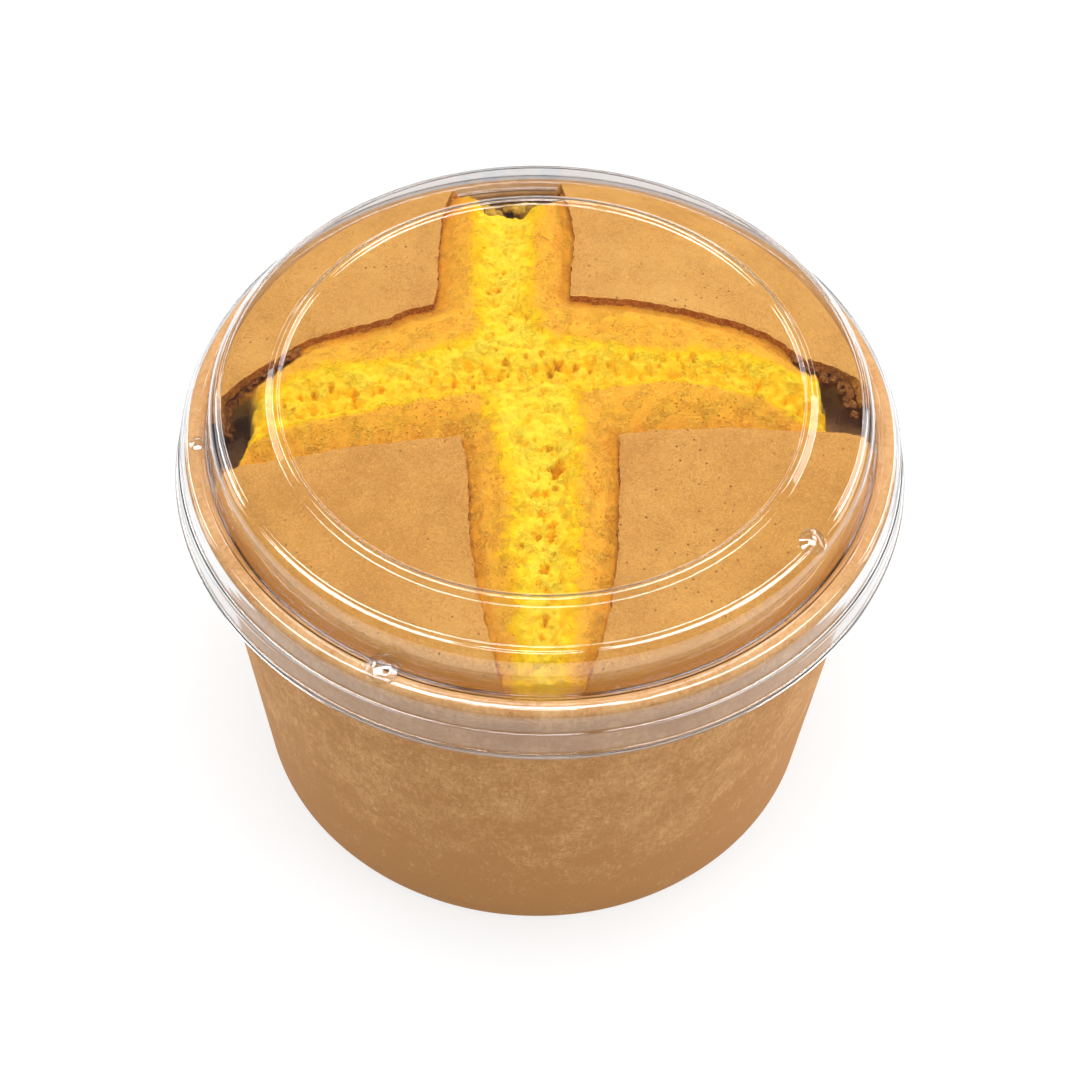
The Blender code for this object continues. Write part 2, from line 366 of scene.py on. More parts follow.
# The left-right furrow runs between a crisp near lip and a soft far bank, each given as (x, y).
FURROW_NEAR_LIP = [
    (-75, -30), (-62.9, -20.3), (-61.3, -17.8), (-60.2, -15.1), (-58.5, -12.9), (-55.4, -11.4),
    (-52.4, -10.2), (-49.4, -9.4), (-43.9, -7.7), (-37.3, -6.4), (-32.7, -4.5), (-28.0, -3.6),
    (-18.6, -1.2), (-9.1, -0.4), (-4.7, 1.0), (-0.5, 1.7), (3.7, 2.0), (8.0, 0.6), (11.8, 1.1),
    (16.5, 2.6), (22.8, 3.9), (30.0, 4.3), (35.8, 3.2), (40.5, 2.1), (45.3, 1.1), (50.0, -1.1),
    (54.7, -3.6), (58.8, -6.0), (75, -15)]
FURROW_FAR_BANK = [(-75, -9), (-54.6, -1.5), (-50.1, 1.8), (-43.0, 4.4), (-28.6, 6.8), (-19.2, 10.6),
                   (-12.0, 14.5), (-5.0, 13.5), (6.9, 13.0), (19.1, 10.5), (31.2, 10.5), (38.5, 10.4),
                   (45.8, 9.5), (55.3, 5.0), (75, -2)]
# The front-back furrow, given as (y, x) on its left and right sides.
FURROW_LEFT_BANK = [
    (-75, -2.5), (-67.6, -2.3), (-56.4, -2.4), (-48.1, -3.0), (-41.8, -4.6), (-28.3, -3.6),
    (-16.9, -6.6), (-8.0, -8.5), (6.0, -11.0), (25.0, -12.8), (35.7, -13.2), (50.7, -14.2), (75, -15)]
FURROW_RIGHT_BANK = [
    (-75, 4.0), (-67.4, 4.4), (-60.3, 4.9), (-52.1, 5.9), (-39.2, 6.2), (-28.0, 5.7), (-16.5, 5.9),
    (-5.0, 6.0), (8.0, 3.5), (25.2, -5.3), (39.7, -4.3), (51.0, -4.0), (75, -3)]

# Where three of the arms have come away from the paper, as (x, y) along the ends.
LEFT_ARM_END = [
    (-64.5, -22), (-63.4, -19.5), (-62.0, -16.5), (-60.7, -13.5), (-59.6, -10.5), (-59.0, -7.6),
    (-58.9, -3.5), (-60.5, 2), (-62.5, 8)]
RIGHT_ARM_END = [(57.2, 12), (57.1, 7.4), (57.4, 3.2), (58.1, -0.9), (59.1, -5.0), (60, -9)]
BACK_ARM_END = [(-24, 66), (-18.8, 61.9), (-16.6, 57.4), (-13.6, 53.0), (-9.5, 53.6), (-5.2, 52.5),
                (-2.4, 55.3), (1.0, 58.6), (3.0, 62.5), (8, 68)]

CROSS = (CUT_ALONG_RIGHT_ARM_NEAR[::-1] + CUT_ALONG_FRONT_ARM_RIGHT + CUT_ALONG_FRONT_ARM_LEFT[::-1]
         + CUT_ALONG_LEFT_ARM_NEAR + CUT_ALONG_LEFT_ARM_FAR[::-1] + CUT_ALONG_BACK_ARM_LEFT
         + CUT_ALONG_BACK_ARM_RIGHT[::-1] + CUT_ALONG_RIGHT_ARM_FAR)
CUTS = [
    CUT_ALONG_LEFT_ARM_FAR, CUT_ALONG_LEFT_ARM_NEAR, CUT_ALONG_RIGHT_ARM_FAR, CUT_ALONG_RIGHT_ARM_NEAR,
    CUT_ALONG_BACK_ARM_LEFT, CUT_ALONG_BACK_ARM_RIGHT, CUT_ALONG_FRONT_ARM_LEFT,
    CUT_ALONG_FRONT_ARM_RIGHT]
print("cross outline:", len(CROSS), "points")

# %% Distances and noise in the plan
FRACTAL_ROUGHNESS = 0.9
FRACTAL_STEP = 2.1


def smooth_step(value):
    """0 below 0, 1 above 1, and smooth between them."""
    value = np.clip(value, 0.0, 1.0)
    return value * value * (3.0 - 2.0 * value)


def distance_to(lines, x, y):
    """Distance from each point to the nearest of some lines."""
    nearest = np.full(x.shape, 1e9)
    for line in lines:
        for (ax, ay), (bx, by) in zip(line, line[1:]):
            run_x, run_y = bx - ax, by - ay
            share = np.clip(((x - ax) * run_x + (y - ay) * run_y) / (run_x ** 2 + run_y ** 2), 0, 1)
            nearest = np.minimum(nearest, np.hypot(x - ax - share * run_x, y - ay - share * run_y))
    return nearest


def inside(outline, x, y):
    """True where a ray along +X crosses the outline an odd number of times."""
    result = np.zeros(x.shape, bool)
    for (ax, ay), (bx, by) in zip(outline, outline[1:] + outline[:1]):
        if ay != by:
            result ^= ((ay > y) != (by > y)) & (x < ax + (y - ay) * (bx - ax) / (by - ay))
    return result


def follow(line, value):
    """Read a line of (from, to) points at a value."""
    return np.interp(value, [a for a, b in line], [b for a, b in line])


def curve_noise(x, y, size, seed=0.0):
    """Soft noise about size across, from -1 to 1."""
    return np.array([noise.noise(Vector((a / size, b / size, seed))) for a, b in zip(x, y)])


def fractal_noise(x, y, size, octaves=3, seed=0.0):
    """Noise with finer and finer lumps, about -1 to 1."""
    return np.array([noise.fractal(Vector((a / size, b / size, seed)), FRACTAL_ROUGHNESS,
                                   FRACTAL_STEP, octaves) for a, b in zip(x, y)])


def grains(x, y, size, seed=0.0):
    """Rounded grains: 1 at the top of a grain and 0 in the creases between grains."""
    nearest = np.array([noise.voronoi(Vector((a / size, b / size, seed)))[0][0] for a, b in zip(x, y)])
    return 1.0 - np.clip(nearest * 1.25, 0, 1) ** 2


print("from the centre to the nearest cut:", distance_to(CUTS, np.zeros(1), np.zeros(1)), "mm")

# %% [markdown]
# ## One rule for the height of the crumb
#
# The crust is a low dome. At a cut the crumb starts two millimetres below the crust's face, swells
# into a rounded bank, and then drops into the furrow. Towards the ends of the side arms the far crust
# stands higher above it. The left-right furrow is lopsided: its near lip is crisp and its far side
# climbs gently. Three arms stop short of the paper and leave a dark gap. Grains and pits grow with
# freshness, because only the torn crumb is rough.

# %% Heights and freshness of the crumb
# The dome: its height at the centre, its fall at a radius, and its steeper edge.
CRUST_CENTRE = 104.6
CRUST_FALL = 1.7
CRUST_FALL_RADIUS = 60.0
CRUST_EDGE_START = 63.0
CRUST_EDGE_RUN = 5.2
CRUST_EDGE_DROP = 2.0
CRUST_RADIUS = 68.2
CRUMB_RADIUS = 69.6
# The step down from the crust at a cut, and the deeper step at the outer ends of the far cuts.
STEP_AT_CUT = 2.25
END_STEP = 2.6
END_STEP_START = 50.0
END_STEP_RUN = 9.0
END_STEP_WIDTH = 3.5
# The banks and the furrows between them.
BANK_RISE = 4.0
BANK_RUN = 8.0
LONG_FURROW_DEPTH = 3.8
FRONT_FURROW_DEPTH = 2.1
BACK_FURROW_DEPTH = 1.2
# The mound in the middle, which fills the front-back furrow.
MOUND_PLACE = -5.5
MOUND_REACH = 13.0
MOUND_FILL = 0.85
# Freshness starts to fade this far inside a furrow, over this run, and is gone at a cut.
FADE_INSIDE = 1.2
FADE_RUN = 5.4
FRESH_FROM_CUT = 4.0
# The gaps: their floor, how far each reaches sideways, and the shelf partway down the left one.
GAP_FLOOR = 87.0
BACK_GAP_RISE = 6.5
BACK_GAP_START = 45.0
BACK_GAP_RUN = 6.0
LEFT_GAP_HALF = 25.0
RIGHT_GAP_HALF = 16.0
BACK_GAP_CENTRE = -9.0
BACK_GAP_HALF = 17.0
LEFT_SHELF = 0.32
OTHER_SHELF = 0.04
GRAIN_SEED = 4.0
MEAN_GRAIN = 0.62

# The larger torn holes, as (x, y, radius).
TORN_HOLES = [
    (1.7, -15.0, 0.5), (3.4, -20.5, 1.2), (1.1, -26.4, 0.6), (-0.7, -26.2, 0.5), (3.4, -25.3, 0.4),
    (0.4, -31.5, 0.65), (3.1, -34.1, 0.6), (2.7, -36.7, 0.75), (-0.2, -37.0, 0.5), (-3.3, -39.7, 0.4),
    (1.3, -45.3, 0.75), (0.3, -48.8, 0.5), (1.9, -56.6, 0.6), (1.0, -60.9, 0.5), (-0.5, 11.0, 0.45),
    (-3.7, 10.2, 0.35), (3.0, 8.8, 0.8), (1.5, 7.1, 0.5), (-9.9, 11.9, 0.35), (-18.5, 4.0, 0.5),
    (-14.4, 3.4, 0.4), (-7.9, 9.0, 0.6), (5.8, 3.1, 0.4), (-47.5, -1.0, 0.6), (-44.1, 1.0, 0.5),
    (-39.2, -0.1, 0.7), (-33.7, 1.4, 0.5), (-50.4, -1.7, 0.5), (-22.4, 5.4, 0.45), (6.9, 8.6, 0.5),
    (18.5, 10.4, 0.5), (28.3, 10.7, 0.5), (31.5, 11.0, 0.6)]


def crust_height(radius):
    """Height of the crust's face, in mm."""
    past_edge = np.maximum(0.0, (radius - CRUST_EDGE_START) / CRUST_EDGE_RUN)
    fall = CRUST_FALL * (radius / CRUST_FALL_RADIUS) ** 2
    return CRUST_CENTRE - fall - CRUST_EDGE_DROP * past_edge ** 2


def furrow_shares(x, y):
    """How deep each point lies in the two furrows, 0 to 1, and how far it is outside both, in mm."""
    wander = 0.7 * curve_noise(x, y, 5.0, 2.0) + 0.35 * curve_noise(x, y, 1.7, 31.0)
    lip, bank = follow(FURROW_NEAR_LIP, x), follow(FURROW_FAR_BANK, x)
    width = bank - lip
    past_lip = y + 0.6 * wander - lip
    across = past_lip / width
    lengthwise = smooth_step((past_lip + 0.2) / 1.8) * (1 - smooth_step((across - 0.22) / 0.95))
    outside_lengthwise = np.maximum(-2.2 * past_lip, past_lip - width)

    left, right = follow(FURROW_LEFT_BANK, y), follow(FURROW_RIGHT_BANK, y)
    half = 0.5 * (right - left)
    from_middle = np.abs(x + wander - 0.5 * (left + right))
    crosswise = 1 - smooth_step((from_middle / half - 0.45) / 0.75)
    mound = smooth_step(1 - np.abs(y - MOUND_PLACE) / MOUND_REACH)
    crosswise = crosswise * (1 - MOUND_FILL * mound)
    outside_crosswise = from_middle - half
    return lengthwise, crosswise, np.minimum(outside_lengthwise, outside_crosswise)


def small_holes():
    """Pinholes strewn along the furrows, as (x, y, radius), in mm."""
    drawn = random.Random(11)
    holes = []
    y = -13.0
    while y > -67.0:
        holes.append((1.4 + drawn.gauss(0, 2.2), y, drawn.uniform(0.2, 0.36)))
        y -= drawn.uniform(0.8, 2.2)
    y = 16.0
    while y < 51.0:
        holes.append((-8.6 + drawn.gauss(0, 2.0), y, drawn.uniform(0.2, 0.42)))
        y += drawn.uniform(0.9, 2.4)
    x = -55.0
    while x < 54.0:
        holes.append((x, follow(FURROW_NEAR_LIP, x) + drawn.uniform(0.8, 8.5), drawn.uniform(0.16, 0.32)))
        x += drawn.uniform(0.8, 2.6)
    return holes


def crumb_relief(x, y, fine=True):
    """Height of the crumb in mm, with its freshness and how hollow it is, each 0 to 1."""
    radius = np.hypot(x, y)
    open_crumb = inside(CROSS, x, y)
    from_cut = np.where(open_crumb, distance_to(CUTS, x, y), 0.0)
    torn_end = smooth_step((np.abs(x) - END_STEP_START) / END_STEP_RUN) * (y > -4)
    torn_end = torn_end * (1 - smooth_step(from_cut / END_STEP_WIDTH))
    height = crust_height(np.minimum(radius, CRUMB_RADIUS)) - STEP_AT_CUT - END_STEP * torn_end
    lengthwise, crosswise, outside = furrow_shares(x, y)
    # The banks swell away from the cuts, and the furrows are cut into them.
    cross_depth = np.where(y < 0, FRONT_FURROW_DEPTH, BACK_FURROW_DEPTH)
    depth = np.maximum(lengthwise * LONG_FURROW_DEPTH, crosswise * cross_depth)
    swell = smooth_step(from_cut / BANK_RUN) * (1 + 0.16 * curve_noise(x, y, 11.0, 7.0))
    height = height + BANK_RISE * swell - depth * smooth_step(from_cut / 3.0)
    fresh = 1 - smooth_step((outside + 1.5 * curve_noise(x, y, 3.4, 5.0)
                             + 0.9 * curve_noise(x, y, 1.3, 14.0) + FADE_INSIDE) / FADE_RUN)
    fresh = fresh * smooth_step(from_cut / FRESH_FROM_CUT)

    # Past the ends of the arms the crumb falls to the floor of the gap: a shelf, and then a steep edge.
    ends = [LEFT_ARM_END, RIGHT_ARM_END, BACK_ARM_END]
    in_left = (x < follow([(b, a) for a, b in LEFT_ARM_END], y)) & (np.abs(y) < LEFT_GAP_HALF)
    in_right = (x > follow([(b, a) for a, b in RIGHT_ARM_END[::-1]], y)) & (np.abs(y) < RIGHT_GAP_HALF)
    in_back = (y > follow(BACK_ARM_END, x)) & (np.abs(x - BACK_GAP_CENTRE) < BACK_GAP_HALF)
    past_end = np.where(in_left | in_right | in_back, 1.0, -1.0)
    past_end = past_end * distance_to(ends, x, y) + 0.7 * fractal_noise(x, y, 1.8, 3, 8.0)
    shelf = np.where((x < 0) & (y < 30), LEFT_SHELF, OTHER_SHELF)
    fall = shelf * smooth_step((past_end + 1.2) / 3.6) + (1 - shelf) * smooth_step((past_end - 0.6) / 3.0)
    fall = fall * smooth_step((from_cut - 0.1) / 0.9)
    floor = GAP_FLOOR + BACK_GAP_RISE * smooth_step((y - BACK_GAP_START) / BACK_GAP_RUN)
    floor = floor + 0.8 * curve_noise(x, y, 4.0, 1.0)
    height = height + (floor - height) * fall
    # Hollowness: the furrow, the creases between grains and the holes, where the material paints shade.
    hollow = lengthwise * 0.2
    if fine:
        tear = np.clip(fresh * 1.15 - 0.1, 0, 1) * open_crumb
        # The plan is bent by noise first, so that the grains aren't round.
        bent_x = x + 0.5 * curve_noise(x, y, 1.6, 51.0)
        bent_y = y + 0.5 * curve_noise(x, y, 1.6, 52.0)
        rough = (0.66 * (grains(bent_x, bent_y, 2.3, GRAIN_SEED) - MEAN_GRAIN)
                 + 0.36 * (grains(bent_x, bent_y, 1.1, 9.0) - MEAN_GRAIN)
                 + 0.42 * fractal_noise(x, y, 2.2, 4, 3.0))
        skin = (0.10 * fractal_noise(x, y, 1.1, 3, 6.0) + 0.22 * curve_noise(x, y, 4.5, 12.0)
                + 0.10 * (grains(x, y, 0.9, 15.0) - MEAN_GRAIN))
        height = height + rough * tear + skin * (1 - tear) * open_crumb
        hollow = hollow + np.clip(-rough - 0.16, 0, 1) * tear * 0.8
        for index, (hole_x, hole_y, hole_radius) in enumerate(TORN_HOLES + small_holes()):
            across, along = x - hole_x, y - hole_y
            star = 1 + 0.38 * np.cos((3 + index % 3) * np.arctan2(along, across) + index)
            dent = smooth_step(1.45 - np.hypot(across, along * 0.8) / (hole_radius * star))
            height = height - (0.35 + 1.2 * hole_radius) * dent
            hollow = hollow + 0.8 * dent
    return height, fresh, np.clip(hollow, 0, 1), from_cut, fall


print("height at the centre:", crumb_relief(np.array([0.0]), np.array([0.0]), fine=False)[0])

# %% [markdown]
# ## The crumb
#
# The cross of crumb is a fine grid of 0.3 mm, cut to the cross with a margin that hides under the
# crust, and lifted to the height rule. Its sides and its bottom close it into a solid. The rule's
# freshness, hollowness, steepness and distance from the cut go onto the mesh as attributes, so the
# material bakes exactly the parts that the rule left smooth. Hollowness, steepness, the cut and the
# gap also place painted shade: warm in hollows and on slopes, darker beside cuts and in the gaps.

# %% Crumb
CRUMB_SPACING = 0.30
CRUMB_HALF = 70.0
CRUMB_MARGIN = 3.0
CRUMB_EDGE_RADIUS = 69.4
CRUMB_BOTTOM = 80.0


def flat_grid(name, half, spacing):
    """A square grid that reaches half to each side, in mm."""
    clear_selection()
    cells = int(round(2 * half / spacing))
    bpy.ops.mesh.primitive_grid_add(x_subdivisions=cells, y_subdivisions=cells, size=2 * half * MM,
                                    location=(0, 0, 0))
    return name_piece(name)


def keep_faces(piece, wanted):
    """Delete the faces that aren't wanted, in edit mode."""
    bpy.ops.object.mode_set(mode='EDIT')
    bpy.ops.mesh.select_mode(type='FACE')
    bpy.ops.object.mode_set(mode='OBJECT')
    piece.data.polygons.foreach_set("select", np.logical_not(wanted))
    bpy.ops.object.mode_set(mode='EDIT')
    bpy.ops.mesh.delete(type='FACE')
    bpy.ops.object.mode_set(mode='OBJECT')


def close_below(piece, bottom):
    """Extrude the open sheet's edge down to a level, and close it there with one face."""
    bpy.ops.object.mode_set(mode='EDIT')
    bpy.ops.mesh.select_mode(type='EDGE')
    bpy.ops.mesh.select_all(action='DESELECT')
    bpy.ops.mesh.select_non_manifold(extend=False)
    bpy.ops.mesh.extrude_edges_move()
    bpy.ops.transform.resize(value=(1, 1, 0), center_override=(0, 0, bottom * MM))
    bpy.ops.mesh.edge_face_add()
    bpy.ops.mesh.select_all(action='SELECT')
    bpy.ops.mesh.normals_make_consistent(inside=False)
    bpy.ops.object.mode_set(mode='OBJECT')


def write_attribute(piece, name, values):
    """Store a number for each vertex, which the materials read."""
    layer = piece.data.attributes.new(name, 'FLOAT', 'POINT')
    layer.data.foreach_set("value", np.asarray(values, dtype=np.float32))


def face_centres(piece):
    """The middles of the faces, in mm."""
    flat = np.empty(len(piece.data.polygons) * 3)
    piece.data.polygons.foreach_get("center", flat)
    return flat.reshape(-1, 3) / MM


crumb = flat_grid("crumb", CRUMB_HALF, CRUMB_SPACING)
middle = face_centres(crumb)
middle_x, middle_y = middle[:, 0], middle[:, 1]
in_reach = inside(CROSS, middle_x, middle_y) | (distance_to(CUTS, middle_x, middle_y) < CRUMB_MARGIN)
keep_faces(crumb, in_reach & (np.hypot(middle_x, middle_y) < CRUMB_EDGE_RADIUS))
points = coordinates(crumb)
crumb_x, crumb_y = points[:, 0] / MM, points[:, 1] / MM
crumb_z, crumb_fresh, crumb_hollow, crumb_from_cut, crumb_fall = crumb_relief(crumb_x, crumb_y)
points[:, 2] = crumb_z * MM
place(crumb, points)
write_attribute(crumb, "fresh", crumb_fresh)
write_attribute(crumb, "hollow", crumb_hollow)
write_attribute(crumb, "from_cut", np.clip(crumb_from_cut / 10.0, 0, 1))
write_attribute(crumb, "gap", crumb_fall)
# Steepness, which the material turns into painted warm shade on slopes.
facing = np.empty(len(crumb.data.vertices) * 3)
crumb.data.vertex_normals.foreach_get("vector", facing)
write_attribute(crumb, "steep", 1 - facing.reshape(-1, 3)[:, 2])
close_below(crumb, CRUMB_BOTTOM)
smooth_by_angle(crumb, 80)
print("crumb:", len(crumb.data.polygons), "faces, top", round(float(crumb_z.max()), 2), "mm")

# %% [markdown]
# ## The body of the cake
#
# Under the crust the cake fills the bowl. Only its edge shows, in the gaps at the ends of the arms, but
# it is a real solid: a coarse block with the same rule on top, trimmed by a turned shape that stands
# a third of a millimetre inside the paper.

# %% Body
BODY_SPACING = 1.5
BODY_HALF = 74.0
BODY_BELOW_CRUST = 1.5
BODY_FROM_CUT = 1.6
BODY_BOTTOM = 3.0
BODY_IN_CROSS = 82.0
PAPER_INSIDE_AT_FOOT = 64.1
WALL_TAPER = 0.0864
CAKE_GAP = 0.35
CAKE_FLOOR = 4.55


def paper_inside(height):
    """Inner radius of the paper wall at a height, in mm."""
    return PAPER_INSIDE_AT_FOOT + WALL_TAPER * height


body = flat_grid("cake_body", BODY_HALF, BODY_SPACING)
points = coordinates(body)
body_x, body_y = points[:, 0] / MM, points[:, 1] / MM
under_crust = crust_height(np.minimum(np.hypot(body_x, body_y), CRUST_RADIUS)) - BODY_BELOW_CRUST
from_cuts = distance_to(CUTS, body_x, body_y)
clear_of_cross = np.logical_not(inside(CROSS, body_x, body_y)) & (from_cuts > BODY_FROM_CUT)
points[:, 2] = np.where(clear_of_cross, under_crust, BODY_IN_CROSS) * MM
place(body, points)
close_below(body, BODY_BOTTOM)
envelope = turned("body_envelope", [
    (0.0, 108.0), (67.6, 108.0), (67.6, 99.6), (69.2, 95.9), (69.2, 93.9),
    (paper_inside(91.0) - CAKE_GAP, 91.0), (paper_inside(CAKE_FLOOR) - CAKE_GAP, CAKE_FLOOR),
    (0.0, CAKE_FLOOR)], 128)
make_active(body)
trim = body.modifiers.new("Trim", 'BOOLEAN')
trim.operation = 'INTERSECT'
trim.solver = 'EXACT'
trim.object = envelope
bpy.ops.object.modifier_apply(modifier=trim.name)
bpy.data.objects.remove(envelope, do_unlink=True)
smooth_by_angle(body, 50)
print("body:", len(body.data.polygons), "faces")

# %% [markdown]
# ## The four quarters of crust
#
# Each quarter is a sheet of crust between two cuts and the rim. A square grid is laid into that space:
# two of its sides follow the cuts and the other two share the rim between them, and the inside is
# blended between the four sides. The plan is then folded over the cake's shoulder and down inside the
# paper. The cut edges are slightly ragged, the way baked crust tears, and below them the crust frays
# outwards. The faces of the cut get a material of their own.

# %% Crust quarters
QUARTER_CELLS = 150
CRUST_THICKNESS = 2.2
CRUST_REACH = 73.6
SHOULDER_START = 65.8
SHOULDER_ROUND = 3.4
SHOULDER_TURN = math.radians(72.0)


def resample(line, count):
    """Points evenly spaced along a line."""
    line = np.array(line)
    steps = np.hypot(*np.diff(line, axis=0).T)
    along = np.concatenate([[0.0], np.cumsum(steps)])
    wanted = np.linspace(0, along[-1], count)
    return np.stack([np.interp(wanted, along, line[:, 0]), np.interp(wanted, along, line[:, 1])], 1)


def ragged(line, seed):
    """A cut edge with small torn teeth, pushed sideways from its line."""
    along = np.gradient(line, axis=0)
    sideways = np.stack([-along[:, 1], along[:, 0]], 1) / np.hypot(along[:, 0], along[:, 1])[:, None]
    push = (0.26 * fractal_noise(line[:, 0], line[:, 1], 2.4, 3, seed)
            + 0.35 * curve_noise(line[:, 0], line[:, 1], 9.0, seed + 1)
            + 0.20 * curve_noise(line[:, 0], line[:, 1], 0.9, seed + 2))
    push[:2] = 0
    push[-1] = 0
    return line + sideways * push[:, None]


def cut_to_reach(line, reach):
    """The line as far as the reach from the centre."""
    kept = [line[0]]
    for start, end in zip(line, line[1:]):
        if math.hypot(*end) < reach:
            kept.append(end)
            continue
        low, high = 0.0, 1.0
        for _ in range(30):
            share = 0.5 * (low + high)
            point = (start[0] + share * (end[0] - start[0]), start[1] + share * (end[1] - start[1]))
            low, high = (share, high) if math.hypot(*point) < reach else (low, share)
        kept.append(point)
        break
    return kept


def fold_over_shoulder(x, y):
    """Lay the flat plan over the dome and down the side: returns metres."""
    flat_radius = np.maximum(np.hypot(x, y), 1e-6)
    over = np.maximum(0.0, flat_radius - SHOULDER_START)
    turn = np.minimum(over / SHOULDER_ROUND, SHOULDER_TURN)
    down = np.maximum(0.0, over - SHOULDER_ROUND * SHOULDER_TURN)
    radius = (np.minimum(flat_radius, SHOULDER_START) + SHOULDER_ROUND * np.sin(turn)
              + down * math.cos(SHOULDER_TURN))
    drop = SHOULDER_ROUND * (1 - np.cos(turn)) + down * math.sin(SHOULDER_TURN)
    height = crust_height(np.minimum(flat_radius, SHOULDER_START)) - drop
    return np.stack([x / flat_radius * radius * MM, y / flat_radius * radius * MM, height * MM], 1)


def mark_torn_faces(piece):
    """Give the second material to the torn edge: the faces whose corners all lie on a cut."""
    from_edge = np.empty(len(piece.data.vertices), dtype=np.float32)
    piece.data.attributes["from_edge"].data.foreach_get("value", from_edge)
    corners = np.empty(len(piece.data.polygons) * 4, dtype=np.int32)
    piece.data.polygons.foreach_get("vertices", corners)
    torn = (from_edge[corners.reshape(-1, 4)] < 1e-3).all(axis=1)
    piece.data.polygons.foreach_set("material_index", torn.astype(np.int32))
    piece.data.update()


def fray_lower_lip(piece, column, row, seed):
    """Pull the under layer's edge out unevenly along both cuts, so that the torn face leans and frays."""
    points = coordinates(piece)
    top_count = len(column)
    index_of = np.empty((QUARTER_CELLS + 1, QUARTER_CELLS + 1), dtype=int)
    index_of[column, row] = np.arange(top_count)
    for edge, inner in ((index_of[3:, 0], index_of[3:, 4]), (index_of[0, 3:], index_of[4, 3:])):
        outward = points[edge, :2] - points[inner, :2]
        outward /= np.hypot(outward[:, 0], outward[:, 1])[:, None]
        x, y = points[edge, 0] / MM, points[edge, 1] / MM
        pull = 0.35 + 0.55 * fractal_noise(x, y, 1.5, 3, seed + 9)
        points[top_count + edge, :2] += outward * (np.clip(pull, 0, 1.1) * MM)[:, None]
        points[top_count + edge, 2] += 0.35 * fractal_noise(x, y, 1.2, 3, seed + 11) * MM
    place(piece, points)


def crust_quarter(name, first_cut, second_cut, seed):
    """One quarter between two cuts from its inner corner, the second anticlockwise of the first."""
    count = QUARTER_CELLS + 1
    side_a = ragged(resample(cut_to_reach(first_cut, CRUST_REACH), count), seed)
    side_b = ragged(resample(cut_to_reach(second_cut, CRUST_REACH), count), seed + 3)
    turn_a = math.atan2(side_a[-1][1], side_a[-1][0])
    turn_b = math.atan2(side_b[-1][1], side_b[-1][0])
    if turn_b < turn_a:
        turn_b += math.tau
    middle_turn = 0.5 * (turn_a + turn_b)
    ends = [np.linspace(turn, middle_turn, count) for turn in (turn_a, turn_b)]
    arc_a, arc_b = [CRUST_REACH * np.stack([np.cos(e), np.sin(e)], 1) for e in ends]

    clear_selection()
    bpy.ops.mesh.primitive_grid_add(x_subdivisions=QUARTER_CELLS, y_subdivisions=QUARTER_CELLS, size=1)
    piece = name_piece(name)
    grid = coordinates(piece)
    s, t = grid[:, 0] + 0.5, grid[:, 1] + 0.5
    column = np.rint(s * QUARTER_CELLS).astype(int)
    row = np.rint(t * QUARTER_CELLS).astype(int)
    s, t = s[:, None], t[:, None]
    plan = ((1 - t) * side_a[column] + t * arc_b[column] + (1 - s) * side_b[row] + s * arc_a[row]
            - (1 - s) * (1 - t) * side_a[0] - s * (1 - t) * side_a[-1]
            - (1 - s) * t * side_b[-1] - s * t * arc_a[-1])
    x, y = plan[:, 0], plan[:, 1]
    from_edge = distance_to([side_a, side_b], x, y)
    points = fold_over_shoulder(x, y)
    swell = 0.22 * curve_noise(x, y, 14.0, seed) + 0.03 * fractal_noise(x, y, 1.3, 3, seed)
    droop = 0.25 * (1 - smooth_step(from_edge / 1.0))
    points[:, 2] += (swell - droop) * MM
    place(piece, points)
    write_attribute(piece, "from_edge", np.clip(from_edge / 5.0, 0, 1))
    thicken(piece, CRUST_THICKNESS, -1.0, even=True)
    fray_lower_lip(piece, column, row, seed)
    smooth_by_angle(piece, 45)
    return piece


quarters = [
    crust_quarter("crust_far_right", CUT_ALONG_RIGHT_ARM_FAR, CUT_ALONG_BACK_ARM_RIGHT, 21.0),
    crust_quarter("crust_far_left", CUT_ALONG_BACK_ARM_LEFT, CUT_ALONG_LEFT_ARM_FAR, 33.0),
    crust_quarter("crust_near_left", CUT_ALONG_LEFT_ARM_NEAR, CUT_ALONG_FRONT_ARM_LEFT, 45.0),
    crust_quarter("crust_near_right", CUT_ALONG_FRONT_ARM_RIGHT, CUT_ALONG_RIGHT_ARM_NEAR, 57.0)]
print("crust quarters:", [len(piece.data.polygons) for piece in quarters])

# %% [markdown]
# ## Scraps and crumbs
#
# Where the arms came away from the paper, torn crust hangs from the far quarters like lace, and crumbs
# stayed behind. A strip is a grid hung between two lines, crumpled by noise, with faces taken out where
# the crust tore. Each crumb is a ball pushed in and out by noise. They overlap the cake or each other.

# %% Scraps and crumbs
# Each torn strip hangs between pairs of top and bottom points (x, y, z), in mm, along its length.
LEFT_STRIP = [
    ((-51.7, 13.2, 102.6), (-51.9, 12.8, 100.4)), ((-54.8, 11.6, 102.3), (-54.9, 11.1, 100.0)),
    ((-58.1, 9.8, 101.9), (-58.2, 9.1, 99.4)), ((-60.5, 7.6, 101.6), (-60.2, 7.0, 98.8)),
    ((-62.6, 5.9, 101.2), (-61.8, 5.3, 98.0)), ((-65.1, 4.4, 100.4), (-63.5, 4.2, 97.0)),
    ((-66.5, 2.6, 99.6), (-64.9, 2.4, 95.6)), ((-67.0, -0.2, 99.0), (-65.6, 0.2, 93.4)),
    ((-66.9, -3.2, 98.2), (-65.2, -2.4, 92.0)), ((-66.6, -6.0, 96.4), (-65.3, -4.8, 92.6))]
